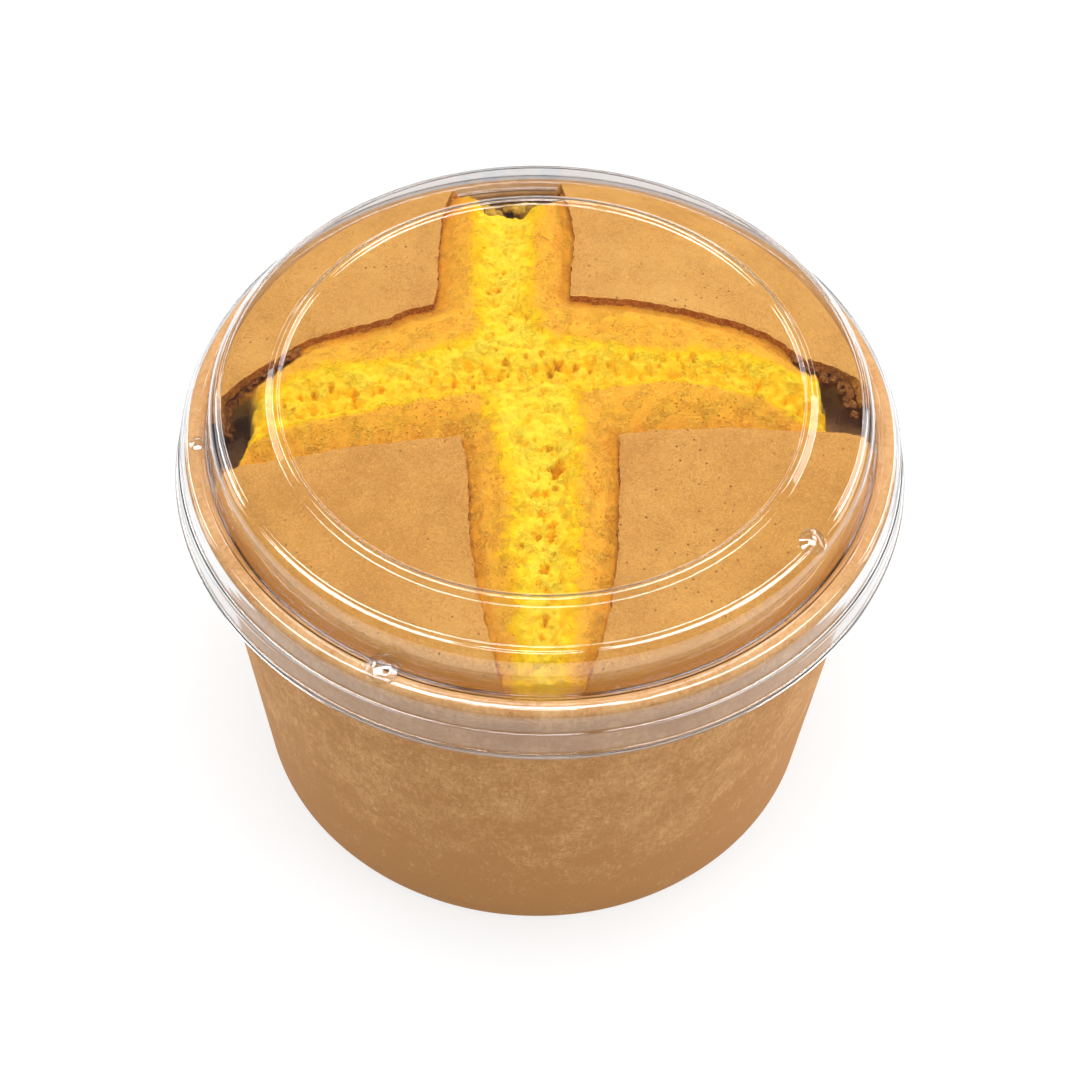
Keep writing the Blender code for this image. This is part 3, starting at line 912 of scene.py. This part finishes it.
RIGHT_STRIP = [
    ((53.0, 15.3, 102.3), (53.2, 14.9, 100.4)), ((56.0, 14.0, 102.0), (56.2, 13.4, 99.8)),
    ((58.9, 13.6, 101.5), (59.1, 12.9, 98.6)), ((61.7, 13.0, 101.0), (60.6, 11.6, 97.6)),
    ((63.9, 11.8, 100.2), (62.4, 11.2, 97.9)), ((65.4, 10.2, 99.4), (64.1, 9.6, 96.0)),
    ((66.6, 8.2, 98.4), (65.6, 7.4, 95.0))]
STRIP_CELLS_PER_PAIR = 26
STRIP_CELLS_DOWN = 34
STRIP_SHEET = 0.6
STRIP_PUSH = (0.0, -0.7, 0.9)
STRIP_CRUMPLE = 0.65
STRIP_HOLE_LEVEL = 0.32
# Each crumb beside the strips: its centre, its half sizes, and a seed.
SIDE_CRUMBS = [
    ((65.8, 7.0, 95.8), (1.3, 0.9, 0.9), 31), ((66.6, 5.2, 94.8), (0.9, 0.8, 0.8), 32),
    ((-64.8, -16.6, 96.6), (1.3, 1.0, 0.9), 33), ((-65.5, -19.0, 98.2), (1.0, 0.8, 0.9), 34)]
# Each crumb in the back gap: its centre, its half sizes, and a seed.
BACK_CRUMBS = [
    ((-12.0, 61.4, 96.2), (2.1, 1.7, 1.7), 21), ((-5.6, 63.6, 96.0), (2.4, 1.8, 1.8), 22),
    ((-3.2, 65.2, 95.6), (1.2, 1.1, 1.0), 23), ((-8.6, 65.2, 95.2), (1.3, 1.0, 0.9), 24),
    ((-14.6, 63.8, 96.4), (1.5, 1.2, 1.2), 25)]


def torn_strip(name, hem, seed):
    """A crumpled sheet of crust hung between the pairs of a hem, with a ragged foot and holes."""
    clear_selection()
    span = len(hem) - 1
    bpy.ops.mesh.primitive_grid_add(
        x_subdivisions=span * STRIP_CELLS_PER_PAIR, y_subdivisions=STRIP_CELLS_DOWN, size=1)
    piece = name_piece(name)
    share = face_centres(piece) * MM + 0.5
    hole = fractal_noise(share[:, 0] * span, share[:, 1] * 2.4, 0.8, 2, seed + 5) > STRIP_HOLE_LEVEL
    hole &= (share[:, 1] > 0.3) & (share[:, 1] < 0.93)
    grid = coordinates(piece)
    along, down = (grid[:, 0] + 0.5) * span, grid[:, 1] + 0.5
    top, foot = [np.stack([np.interp(along, np.arange(span + 1), [pair[side][axis] for pair in hem])
                           for axis in range(3)], 1) for side in (0, 1)]
    torn = 1 + 0.5 * fractal_noise(along, np.zeros_like(along), 0.6, 3, seed)
    strip = top + (foot - top) * (down * torn)[:, None]
    strip += np.array(STRIP_PUSH) * down[:, None]
    slant = strip[:, 2] + 3.0 * along
    freedom = 0.3 + 0.7 * down
    for axis, offset in ((0, 1), (1, 2)):
        crumple = fractal_noise(3.2 * along, strip[:, 2], 1.9, 3, seed + offset)
        strip[:, axis] += STRIP_CRUMPLE * crumple * freedom
    strip[:, 2] += 0.3 * curve_noise(slant, strip[:, 0], 1.1, seed + 3)
    place(piece, strip * MM)
    keep_faces(piece, np.logical_not(hole))
    thicken(piece, STRIP_SHEET, 0.0)
    smooth_by_angle(piece, 60)
    return piece


def bit(centre, half_sizes, seed):
    """One crumb: a ball pushed in and out by noise."""
    clear_selection()
    bpy.ops.mesh.primitive_ico_sphere_add(subdivisions=3, radius=1.0)
    piece = name_piece("bit")
    ball = coordinates(piece)
    push = np.array([1 + 0.6 * noise.noise(Vector(p) * 1.5 + Vector((seed, 0, 0)))
                     + 0.35 * noise.noise(Vector(p) * 3.7 + Vector((0, seed, 0))) for p in ball])
    place(piece, (ball * push[:, None] * np.array(half_sizes) + np.array(centre)) * MM)
    return piece


def bits(name, listed):
    """Make the listed bits, and join them into one piece."""
    made = [bit(*entry) for entry in listed]
    clear_selection()
    for piece in made:
        piece.select_set(True)
    bpy.context.view_layer.objects.active = made[0]
    bpy.ops.object.join()
    joined = name_piece(name)
    smooth_by_angle(joined, 80)
    return joined


scraps = [
    torn_strip("torn_strip_left", LEFT_STRIP, 3.0), torn_strip("torn_strip_right", RIGHT_STRIP, 8.0),
    bits("crust_scraps", SIDE_CRUMBS)]
loose_crumbs = bits("crumbs_back", BACK_CRUMBS)
print("scraps and crumbs:", [len(piece.data.polygons) for piece in (*scraps, loose_crumbs)])

# %% [markdown]
# ## The paper bowl
#
# The bowl is a sheet of kraft board: a tapered wall, its top edge rolled outwards into a tube, and a
# disc set into the foot. One outline holds all of it, with enough steps round the roll that its
# highlight stays a clean line.

# %% Bowl
BOARD = 0.7
FOOT_RADIUS = 64.8
FOOT_RING = 1.5
FOOT_HEIGHT = 3.5
ROLL_CENTRE = (72.8, 94.7)
ROLL_RADIUS = 2.2
ROLL_TURNS = (246.0, -84.0)
ROLL_STEPS = 26
BOWL_STEPS = 256


def wall_outside(height):
    """Outer radius of the paper wall at a height, in mm."""
    return FOOT_RADIUS + WALL_TAPER * height


bowl_outline = [
    (0.0, FOOT_HEIGHT + BOARD),
    (paper_inside(FOOT_HEIGHT + BOARD) - 1.0, FOOT_HEIGHT + BOARD),
    (paper_inside(FOOT_HEIGHT + BOARD + 1.0), FOOT_HEIGHT + BOARD + 1.0)]
bowl_outline += [(paper_inside(z), z) for z in (20, 40, 60, 80, 88)]
bowl_outline += arc(ROLL_CENTRE, ROLL_RADIUS, *ROLL_TURNS, ROLL_STEPS)
bowl_outline += [(wall_outside(z), z) for z in (88, 80, 60, 40, 20, 6)]
bowl_outline += [
    (FOOT_RADIUS + 0.05, 0.6), (FOOT_RADIUS - 0.15, 0.12), (FOOT_RADIUS - 0.4, 0.0),
    (FOOT_RADIUS - FOOT_RING + 0.2, 0.0), (FOOT_RADIUS - FOOT_RING, 0.2),
    (wall_outside(FOOT_HEIGHT) - FOOT_RING, FOOT_HEIGHT), (0.0, FOOT_HEIGHT)]
bowl = turned("paper_bowl", bowl_outline[::-1], BOWL_STEPS)
smooth_by_angle(bowl, 40)
print("bowl:", len(bowl.data.polygons), "faces")

# %% [markdown]
# ## The clear lid
#
# The lid is one thin sheet drawn over a mould. Its outline is drawn once along the outer face, the
# tight corners are rounded so that each catches a fine line of light, and Solidify gives the sheet its
# thickness inwards.

# %% Lid
LID_SHEET = 0.36
LID_STEPS = 288
# Panel and ring, shoulder, wall and groove, flange, then the stepped skirt.
LID_CORNERS = [
    (0.0, 107.5), (30.0, 107.45), (54.3, 107.35), (55.0, 108.05), (55.85, 108.1), (57.2, 107.15),
    (66.6, 107.1), (67.25, 106.65), (67.75, 106.52), (69.25, 105.5),
    (70.05, 97.4), (70.5, 96.2), (71.6, 97.0), (72.1, 97.55),
    (72.9, 97.7), (74.55, 97.52), (75.75, 96.4), (76.15, 94.7),
    (76.2, 91.95), (76.75, 91.85), (76.95, 90.6), (77.1, 90.1), (77.4, 86.75), (77.68, 86.72),
    (78.0, 86.36), (77.95, 85.35)]
# How far each corner is rounded, by its number in the list.
LID_ROUNDING = {
    2: 0.4, 3: 0.4, 4: 0.36, 5: 0.2, 6: 0.26, 7: 0.18, 8: 0.2, 9: 1.5, 10: 0.5, 11: 0.6, 13: 0.3,
    15: 0.35, 16: 0.6, 18: 0.17, 19: 0.37, 20: 0.3, 22: 0.1, 23: 0.16, 24: 0.22}
lid = turned("clear_lid", rounded(LID_CORNERS, LID_ROUNDING), LID_STEPS)
thicken(lid, LID_SHEET, -1.0, even=True)
smooth_by_angle(lid, 50)
print("lid:", len(lid.data.polygons), "faces")

# %% [markdown]
# ## Moulded nubs on the lid
#
# Stacking nubs keep nested lids apart: a blister on the shoulder, a wider one across the groove and a
# small one on the flange. Each is a thin blown cap, modelled upright as a turned shape, leaned
# to the slope of the lid and set down on it.

# %% Nubs
NUB_SHEET = 0.3
NUB_STEPS = 40
# Outlines of (radius, height) from the top down, in mm.
SHOULDER_NUB = [(0.0, 0.9), (0.9, 0.85), (1.7, 0.55), (2.3, 0.25), (2.75, 0.05)]
GROOVE_NUB = [(0.0, 1.0), (1.4, 0.95), (2.3, 0.65), (2.9, 0.3), (3.3, 0.05)]
FLANGE_NUB = [(0.0, 0.32), (0.5, 0.29), (0.95, 0.2), (1.3, 0.09), (1.6, 0.02)]


def nub(name, outline, centre, points_to):
    """A thin cap, set down at a centre and leaned to point in a direction."""
    piece = turned(name, outline, NUB_STEPS)
    thicken(piece, NUB_SHEET, 1.0)
    lean = Vector((0, 0, 1)).rotation_difference(Vector(points_to)).to_matrix()
    place(piece, coordinates(piece) @ np.array(lean).T + np.array(centre) * MM)
    smooth_by_angle(piece, 50)
    return piece


nubs = [
    nub("nub_shoulder", SHOULDER_NUB, (53.9, -39.6, 107.0), (0.28, -0.2, 1.0)),
    nub("nub_groove", GROOVE_NUB, (-29.3, -66.0, 97.6), (-0.05, -0.12, 1.0)),
    nub("nub_flange", FLANGE_NUB, (-71.4, -10.2, 97.7), (0.0, 0.0, 1.0))]
print("nubs:", [len(piece.data.polygons) for piece in nubs])

# %% [markdown]
# ## Baked crumb and crust
#
# The colours run in one order from the cut to the furrow: brown, orange, amber, yellow. A ramp holds
# that order, and freshness moves along it with a little noise. Shade is painted in on top: steep
# sides and hollows turn warmer amber, holes brown, the crumb just beside a cut darker, and the ends
# of the arms and the gaps olive and dark brown. Fine bumps give the torn crumb its grain and the bank
# its dense pores. The cut edges of the crust have a second finish. Their faces are chosen after it is
# given, because clearing a piece's materials also clears that choice.

# %% Crumb and crust materials
DEEP_ORANGE = (0.78, 0.320, 0.022)
ORANGE = (0.93, 0.430, 0.042)
AMBER = (0.95, 0.510, 0.005)
YELLOW = (0.97, 0.635, 0.012)
PALE_YELLOW = (0.98, 0.735, 0.052)
# Painted shade: warm amber for slopes and hollows.
PAINTED_SHADE_AMBER = (0.96, 0.470, 0.003)
# Painted shade for the deep holes.
PAINTED_HOLE_SHADE = (0.72, 0.290, 0.002)
PORE_BROWN = (0.50, 0.170, 0.010)
CREASE_ORANGE = (0.80, 0.290, 0.010)
DARK_HAIR = (0.72, 0.240, 0.010)
PALE_HAIR = (0.98, 0.620, 0.080)
# Painted shadow for the crumb just beside a cut.
PAINTED_SHADOW_BESIDE_CUT = (0.50, 0.185, 0.018)
TAN = (0.63, 0.308, 0.064)
TAN_DARK = (0.48, 0.210, 0.036)
TAN_LIGHT = (0.73, 0.390, 0.096)
SPECK_BROWN = (0.36, 0.140, 0.028)
PINHOLE_BROWN = (0.16, 0.055, 0.012)
LOW_CRUST = (0.50, 0.190, 0.030)
TORN_BROWN = (0.37, 0.140, 0.028)
TORN_DARK = (0.17, 0.055, 0.010)
TORN_LIGHT = (0.52, 0.235, 0.058)
CUT_FACE = (0.52, 0.190, 0.022)
CUT_FACE_DARK = (0.36, 0.115, 0.012)
CUT_FACE_LIGHT = (0.74, 0.370, 0.080)
LOOSE_DARK = (0.40, 0.200, 0.020)
LOOSE_LIGHT = (0.72, 0.430, 0.060)
# Baked brown darkened with painted shade, for the cake's side and the gaps' floor.
BAKED_SIDE_AND_SHADE_BROWN = (0.15, 0.070, 0.028)
SIDE_LIGHT = (0.38, 0.170, 0.045)
# Painted shade at the ends of the arms.
PAINTED_SHADE_OLIVE = (0.34, 0.190, 0.040)
# The gaps' floor further right: baked brown with painted shade, a little lighter.
GAP_FLOOR_AND_SHADE_BROWN = (0.34, 0.165, 0.065)

crumb_finish = Finish("sponge_crumb", Roughness=0.8, Specular_IOR_Level=0.06)
fresh = crumb_finish.attribute("fresh")
hollow = crumb_finish.attribute("hollow")
from_cut = crumb_finish.attribute("from_cut")
gap = crumb_finish.attribute("gap")
steep = crumb_finish.attribute("steep")
broad = crumb_finish.noise(4.0 * MM, 4.0, 0.6)
hairs = crumb_finish.noise(1.1 * MM, 3.0, 0.6, curl=2.2)
stage = (fresh * 0.60 + from_cut.between(0.0, 0.45) * 0.26 + (broad - 0.5) * 0.34
         + (hairs - 0.5) * 0.40 + 0.06)
colour = crumb_finish.ramp(stage, [
    (0.0, DEEP_ORANGE), (0.28, ORANGE), (0.55, AMBER), (0.80, YELLOW), (1.0, PALE_YELLOW)])
# Painted shade: fresh crumb on steep slopes and in hollows turns warm amber.
colour = crumb_finish.blend(steep.between(0.02, 0.34) * fresh * 0.50, colour, PAINTED_SHADE_AMBER)
colour = crumb_finish.blend(hollow.between(0.02, 0.45) * 0.85, colour, PAINTED_SHADE_AMBER)
# Painted shade: the deepest hollows, the holes, turn brown.
colour = crumb_finish.blend(hollow.between(0.45, 0.95) * 0.85, colour, PAINTED_HOLE_SHADE)
pores = 1 - crumb_finish.cells(1.0 * MM).between(0.12, 0.26)
pores = pores * (1 - fresh) * crumb_finish.noise(6.0 * MM, 2.0).between(0.42, 0.56)
colour = crumb_finish.blend(pores * 0.65, colour, PORE_BROWN)
creases = 1 - hairs.between(0.38, 0.50)
colour = crumb_finish.blend(creases * (1 - fresh * 0.92) * 0.40, colour, CREASE_ORANGE)
dark_hairs = crumb_finish.threads(1.5 * MM, 0.06, curl=1.6)
pale_hairs = crumb_finish.threads(1.8 * MM, 0.06, curl=1.8)
colour = crumb_finish.blend(dark_hairs * (1 - fresh * 0.92) * 0.65, colour, DARK_HAIR)
colour = crumb_finish.blend(pale_hairs * (1 - fresh * 0.8) * 0.60, colour, PALE_HAIR)
# Painted shadow: baked crumb just beside a cut is darkened, as in the shadow of the crust's edge.
shadow_beside_cut = (1 - from_cut.between(0.0, 0.13)) * (1 - fresh)
colour = crumb_finish.blend(shadow_beside_cut * 0.60, colour, PAINTED_SHADOW_BESIDE_CUT)
# Painted shade: where the crumb falls away past an arm's end it turns olive.
colour = crumb_finish.blend(gap.between(0.04, 0.27) * 0.85, colour, PAINTED_SHADE_OLIVE)
# Painted shade: the floor of the gaps is dark baked brown, a little lighter towards the right.
to_right = crumb_finish.axis("X")
gap_floor_and_shade_colour = crumb_finish.blend(to_right.between(0.0, 40.0 * MM), BAKED_SIDE_AND_SHADE_BROWN, GAP_FLOOR_AND_SHADE_BROWN)
colour = crumb_finish.blend(gap.between(0.30, 0.70), colour, gap_floor_and_shade_colour)
grain = crumb_finish.noise(0.9 * MM, 4.0, 0.65)
relief = grain * (0.6 - fresh * 0.1) + hairs * (1 - fresh * 0.5) - pores * 0.8
relief = relief - dark_hairs * 0.5 + pale_hairs * 0.5
crumb_material = crumb_finish.drive(
    Base_Color=colour, Roughness=0.74 + grain * 0.14, Normal=crumb_finish.bump(relief, 0.32 * MM))
give(crumb, crumb_material)

crust_finish = Finish("tan_crust", Roughness=0.7, Specular_IOR_Level=0.15)
height = crust_finish.axis("Z")
cloud = crust_finish.noise(16.0 * MM, 3.0, 0.5)
hairs = crust_finish.noise(0.75 * MM, 3.0, 0.65, curl=2.4)
dark_hairs = crust_finish.threads(1.4 * MM, 0.055, curl=1.6)
pale_hairs = crust_finish.threads(1.7 * MM, 0.055, curl=1.8)
depth = crust_finish.axis("Y")
stage = (cloud - 0.5) * 0.8 + (hairs - 0.5) * 1.9 + pale_hairs * 0.22 - dark_hairs * 0.34 + 0.53
# Painted shade: the crust is a little darker towards the near side.
stage = stage - (1 - depth.between(-25.0 * MM, 25.0 * MM)) * 0.14
colour = crust_finish.ramp(stage, [(0.15, TAN_DARK), (0.52, TAN), (0.95, TAN_LIGHT)])
specks = (1 - crust_finish.cells(1.1 * MM).between(0.10, 0.20)) * hairs.between(0.40, 0.55)
colour = crust_finish.blend(specks * 0.38, colour, SPECK_BROWN)
pinholes = (1 - crust_finish.cells(2.4 * MM).between(0.06, 0.12)) * cloud.between(0.40, 0.55)
colour = crust_finish.blend(pinholes * 0.85, colour, PINHOLE_BROWN)
low = 1 - height.between(97.0 * MM, 101.2 * MM)
colour = crust_finish.blend(low * 0.8, colour, LOW_CRUST)
crust_material = crust_finish.drive(
    Base_Color=colour, Roughness=0.64 + hairs * 0.2,
    Normal=crust_finish.bump(hairs - pinholes * 1.5 - specks * 0.6 + pale_hairs * 0.4, 0.18 * MM))


def crumbly(name, size, roughness, curl, stops):
    """A matt finish whose colour, roughness and bump all follow one noise."""
    finish = Finish(name, Roughness=0.85, Specular_IOR_Level=0.12)
    shreds = finish.noise(size, 4.0, roughness, curl=curl)
    return finish.drive(
        Base_Color=finish.ramp(shreds, stops), Roughness=0.78 + shreds * 0.15,
        Normal=finish.bump(shreds, 0.5 * MM))


torn_material = crumbly(
    "torn_crust", 1.0 * MM, 0.65, 1.5, [(0.40, TORN_DARK), (0.54, TORN_BROWN), (0.70, TORN_LIGHT)])
edge_material = crumbly(
    "cut_edge_of_crust", 0.9 * MM, 0.7, 1.5,
    [(0.38, CUT_FACE_DARK), (0.50, CUT_FACE), (0.64, CUT_FACE_LIGHT)])
loose_material = crumbly("loose_crumb", 1.6 * MM, 0.6, 0.0, [(0.32, LOOSE_DARK), (0.62, LOOSE_LIGHT)])
for piece in quarters:
    give(piece, crust_material)
    piece.data.materials.append(edge_material)
    mark_torn_faces(piece)
for piece in scraps:
    give(piece, torn_material)
give(loose_crumbs, loose_material)

# The side of the cake shows only in the gaps: its dark brown is baked colour and painted shade.
side_finish = Finish("baked_side_and_shade", Roughness=0.8, Specular_IOR_Level=0.12)
patches = side_finish.noise(5.0 * MM, 4.0, 0.6)
side_colour = side_finish.ramp(patches, [(0.25, BAKED_SIDE_AND_SHADE_BROWN), (0.7, SIDE_LIGHT)])
side_material = side_finish.drive(
    Base_Color=side_colour, Roughness=0.7 + patches * 0.2,
    Normal=side_finish.bump(side_finish.noise(1.2 * MM, 4.0, 0.6), 0.3 * MM))
give(body, side_material)
print("crumb, crust and side materials ready")

# %% [markdown]
# ## Kraft board and clear plastic
#
# Kraft board is unbleached paper: a warm brown with fibres that lie every way, a little darker here
# and there. Shade is painted on too: the wall darkens towards the foot, and the rolled rim is kept
# lighter than the wall as a painted highlight. The plastic is clear and very smooth, and a little
# greyer at the skirt. A real sheet this thin lets lamplight through almost untouched, so rays that
# only carry light pass straight on, and all others see real plastic.

# %% Board and plastic materials
KRAFT = (0.64, 0.340, 0.128)
# The dark end of the board also carries the painted shade at the foot.
KRAFT_DARK_AND_SHADE = (0.47, 0.215, 0.060)
KRAFT_LIGHT = (0.78, 0.470, 0.215)
FLECK_BROWN = (0.20, 0.09, 0.03)
TOP_TINT = (0.875, 0.875, 0.885)
SKIRT_TINT = (0.80, 0.80, 0.805)
LAMPLIGHT_THROUGH = (0.97, 0.97, 0.97, 1.0)

board_finish = Finish("kraft_board", Roughness=0.75, Specular_IOR_Level=0.25)
fibres = board_finish.noise(1.5 * MM, 4.0, 0.7, stretch=(1.0, 1.0, 0.35), curl=1.5)
cross_fibres = board_finish.noise(1.1 * MM, 3.0, 0.7, stretch=(0.6, 0.6, 1.6), curl=1.5)
mottle = board_finish.noise(9.0 * MM, 3.0, 0.5)
hairs = board_finish.threads(1.9 * MM, 0.045, stretch=(1.0, 1.0, 0.45), curl=1.2)
dark_hairs = board_finish.threads(2.3 * MM, 0.040, stretch=(0.7, 0.7, 1.0), curl=1.4)
stage = (fibres - 0.5) * 0.8 + (cross_fibres - 0.5) * 0.6 + (mottle - 0.5) * 0.5 + 0.5
stage = stage + hairs * 0.16 - dark_hairs * 0.18
level = board_finish.axis("Z")
# Painted shade: the board darkens towards the foot.
stage = stage - (1 - level.between(0.0, 50.0 * MM)) * 0.22
# Painted highlight: the rolled rim is kept lighter than the wall below it.
stage = stage - (1 - level.between(86.0 * MM, 93.0 * MM)) * 0.17
board_colour = board_finish.ramp(stage, [(0.22, KRAFT_DARK_AND_SHADE), (0.50, KRAFT), (0.80, KRAFT_LIGHT)])
flecks = 1 - board_finish.cells(3.2 * MM).between(0.04, 0.09)
board_colour = board_finish.blend(flecks * 0.5, board_colour, FLECK_BROWN)
board_material = board_finish.drive(
    Base_Color=board_colour, Roughness=0.62 + fibres * 0.25,
    Normal=board_finish.bump(fibres + cross_fibres * 0.7, 0.05 * MM))
give(bowl, board_material)

plastic_finish = Finish("clear_plastic_sheet", Roughness=0.03, IOR=1.57, Transmission_Weight=1.0)
ripple = plastic_finish.noise(14.0 * MM, 2.0, 0.4)
level = plastic_finish.axis("Z")
tint = plastic_finish.blend(level.between(91.0 * MM, 96.0 * MM), SKIRT_TINT, TOP_TINT)
plastic_finish.drive(
    Base_Color=tint, Normal=plastic_finish.bump(ripple, 0.06 * MM), Roughness=0.02 + ripple * 0.03)
tree = plastic_finish.tree
output = tree.nodes["Material Output"]
through = tree.nodes.new("ShaderNodeBsdfTransparent")
through.inputs["Color"].default_value = LAMPLIGHT_THROUGH
path = tree.nodes.new("ShaderNodeLightPath")
carries_light = Wire(tree, path.outputs["Is Shadow Ray"]).math(
    'MAXIMUM', Wire(tree, path.outputs["Is Shadow Ray"]), Wire(tree, path.outputs["Is Diffuse Ray"]))
sheet = tree.nodes.new("ShaderNodeMixShader")
tree.links.new(carries_light.socket, sheet.inputs[0])
tree.links.new(plastic_finish.shader.outputs[0], sheet.inputs[1])
tree.links.new(through.outputs[0], sheet.inputs[2])
tree.links.new(sheet.outputs[0], output.inputs["Surface"])
for piece in (lid, *nubs):
    give(piece, plastic_finish.material)
print("board and plastic materials ready")

# %% [markdown]
# ## Where each piece belongs
#
# All pieces ride on the frame's single body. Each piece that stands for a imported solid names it, so
# that solid is hidden and the new piece is seen in its place.

# %% Ride and replace
cake_pieces = [crumb, body, *quarters, *scraps, loose_crumbs]
for piece in cake_pieces:
    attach(piece, "root")
    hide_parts("cake")
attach(bowl, "root")
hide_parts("bowl")
for piece in (lid, *nubs):
    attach(piece, "root")
    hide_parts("lid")
print("pieces:", [piece.name for piece in (*cake_pieces, bowl, lid, *nubs)])

# %% [markdown]
# ## Floor, light and camera
#
# The floor is white, as in a light tent. One large soft light overhead lights the cake. Lamps that show
# only in gloss draw the fine lines on the lid, so the lines and the light on the cake are set apart.
# Nothing bright hangs right above the lid or at the mirror angle behind it, where it would wash the
# flat top out.

# %% Stage
FLOOR_SIZE = 40.0
FLOOR_GREY = (0.28, 0.28, 0.28, 1.0)
FLOOR_GLOW = 0.66
WORLD_LIGHT = 0.10
WHITE = (1.0, 1.0, 1.0, 1.0)

clear_selection()
bpy.ops.mesh.primitive_plane_add(size=FLOOR_SIZE, location=(0, 0, 0))
floor = name_piece("floor")
floor_finish = Finish(
    "white_floor", Roughness=0.9, Base_Color=FLOOR_GREY, Emission_Color=WHITE,
    Emission_Strength=FLOOR_GLOW)
give(floor, floor_finish.material)


def soft_light(name, place, size, power, glow=True, sheen=True, aim=(0.0, 0.0, 0.08)):
    """A rectangular lamp that faces its aim: glow lights matt surfaces, and sheen shows in gloss."""
    clear_selection()
    direction = Vector(aim) - Vector(place)
    turn = direction.to_track_quat('-Z', 'Y').to_euler()
    bpy.ops.object.light_add(type='AREA', location=place, rotation=turn)
    lamp = bpy.context.object
    lamp.name = name
    lamp.data.shape = 'RECTANGLE'
    lamp.data.size, lamp.data.size_y = size
    lamp.data.energy = power
    lamp.visible_diffuse = glow
    lamp.visible_glossy = sheen
    lamp.visible_transmission = sheen and not glow


def sheen_above(name, place, size, power):
    """A lamp for gloss alone, facing down. Its aim lies 1 mm nearer than itself, to set its turn."""
    soft_light(name, place, size, power, glow=False, aim=(place[0], place[1] - 0.001, 0.0))


soft_light("overhead", (0.0, -0.11, 1.20), (0.9, 0.7), 18.6, sheen=False)
sheen_above("left_sheen", (-0.515, 0.04, 1.05), (0.690, 0.52), 10.95)
sheen_above("middle_sheen_near", (-0.027, -0.24, 1.05), (0.289, 0.16), 2.3)
sheen_above("middle_sheen_far", (-0.027, 0.24, 1.05), (0.289, 0.16), 2.3)
sheen_above("right_sheen", (0.527, 0.04, 1.05), (0.746, 0.52), 11.5)
sheen_above("left_side_sheen", (-0.80, 0.72, 1.0), (0.42, 0.55), 7.5)
sheen_above("right_side_sheen", (0.80, 0.72, 1.0), (0.42, 0.55), 7.5)
soft_light("left_strip", (-0.9, 0.60, 0.45), (1.1, 0.34), 4.5)
soft_light("right_strip", (0.9, 0.60, 0.50), (1.1, 0.34), 6.0)
soft_light("back_strip", (0.0, 1.1, 0.40), (1.4, 0.22), 4.0)
soft_light("front_left", (-1.0, -0.4, 0.35), (0.5, 0.5), 1.6, sheen=False)
soft_light("front_right", (1.05, -0.35, 0.40), (0.5, 0.5), 3.8, sheen=False)

world = bpy.data.worlds.new("studio")
world.use_nodes = True
world.node_tree.nodes["Background"].inputs["Color"].default_value = WHITE
world.node_tree.nodes["Background"].inputs["Strength"].default_value = WORLD_LIGHT
bpy.context.scene.world = world
bpy.context.scene.view_settings.view_transform = 'Standard'

# The camera was worked out from the circles of the foot, the rim and the lid.
CAMERA_PLACE = (0.0, -0.32091, 0.46055)
CAMERA_DEGREES = (38.396, -0.937, 1.119)
CAMERA_LENS = 76.47
camera_turn = Euler([math.radians(angle) for angle in CAMERA_DEGREES])
bpy.ops.object.camera_add(location=CAMERA_PLACE, rotation=camera_turn)
camera = bpy.context.object
camera.data.lens = CAMERA_LENS
camera.data.sensor_width = 36.0
camera.data.clip_start = 0.01
bpy.context.scene.camera = camera
print("camera and lights ready")
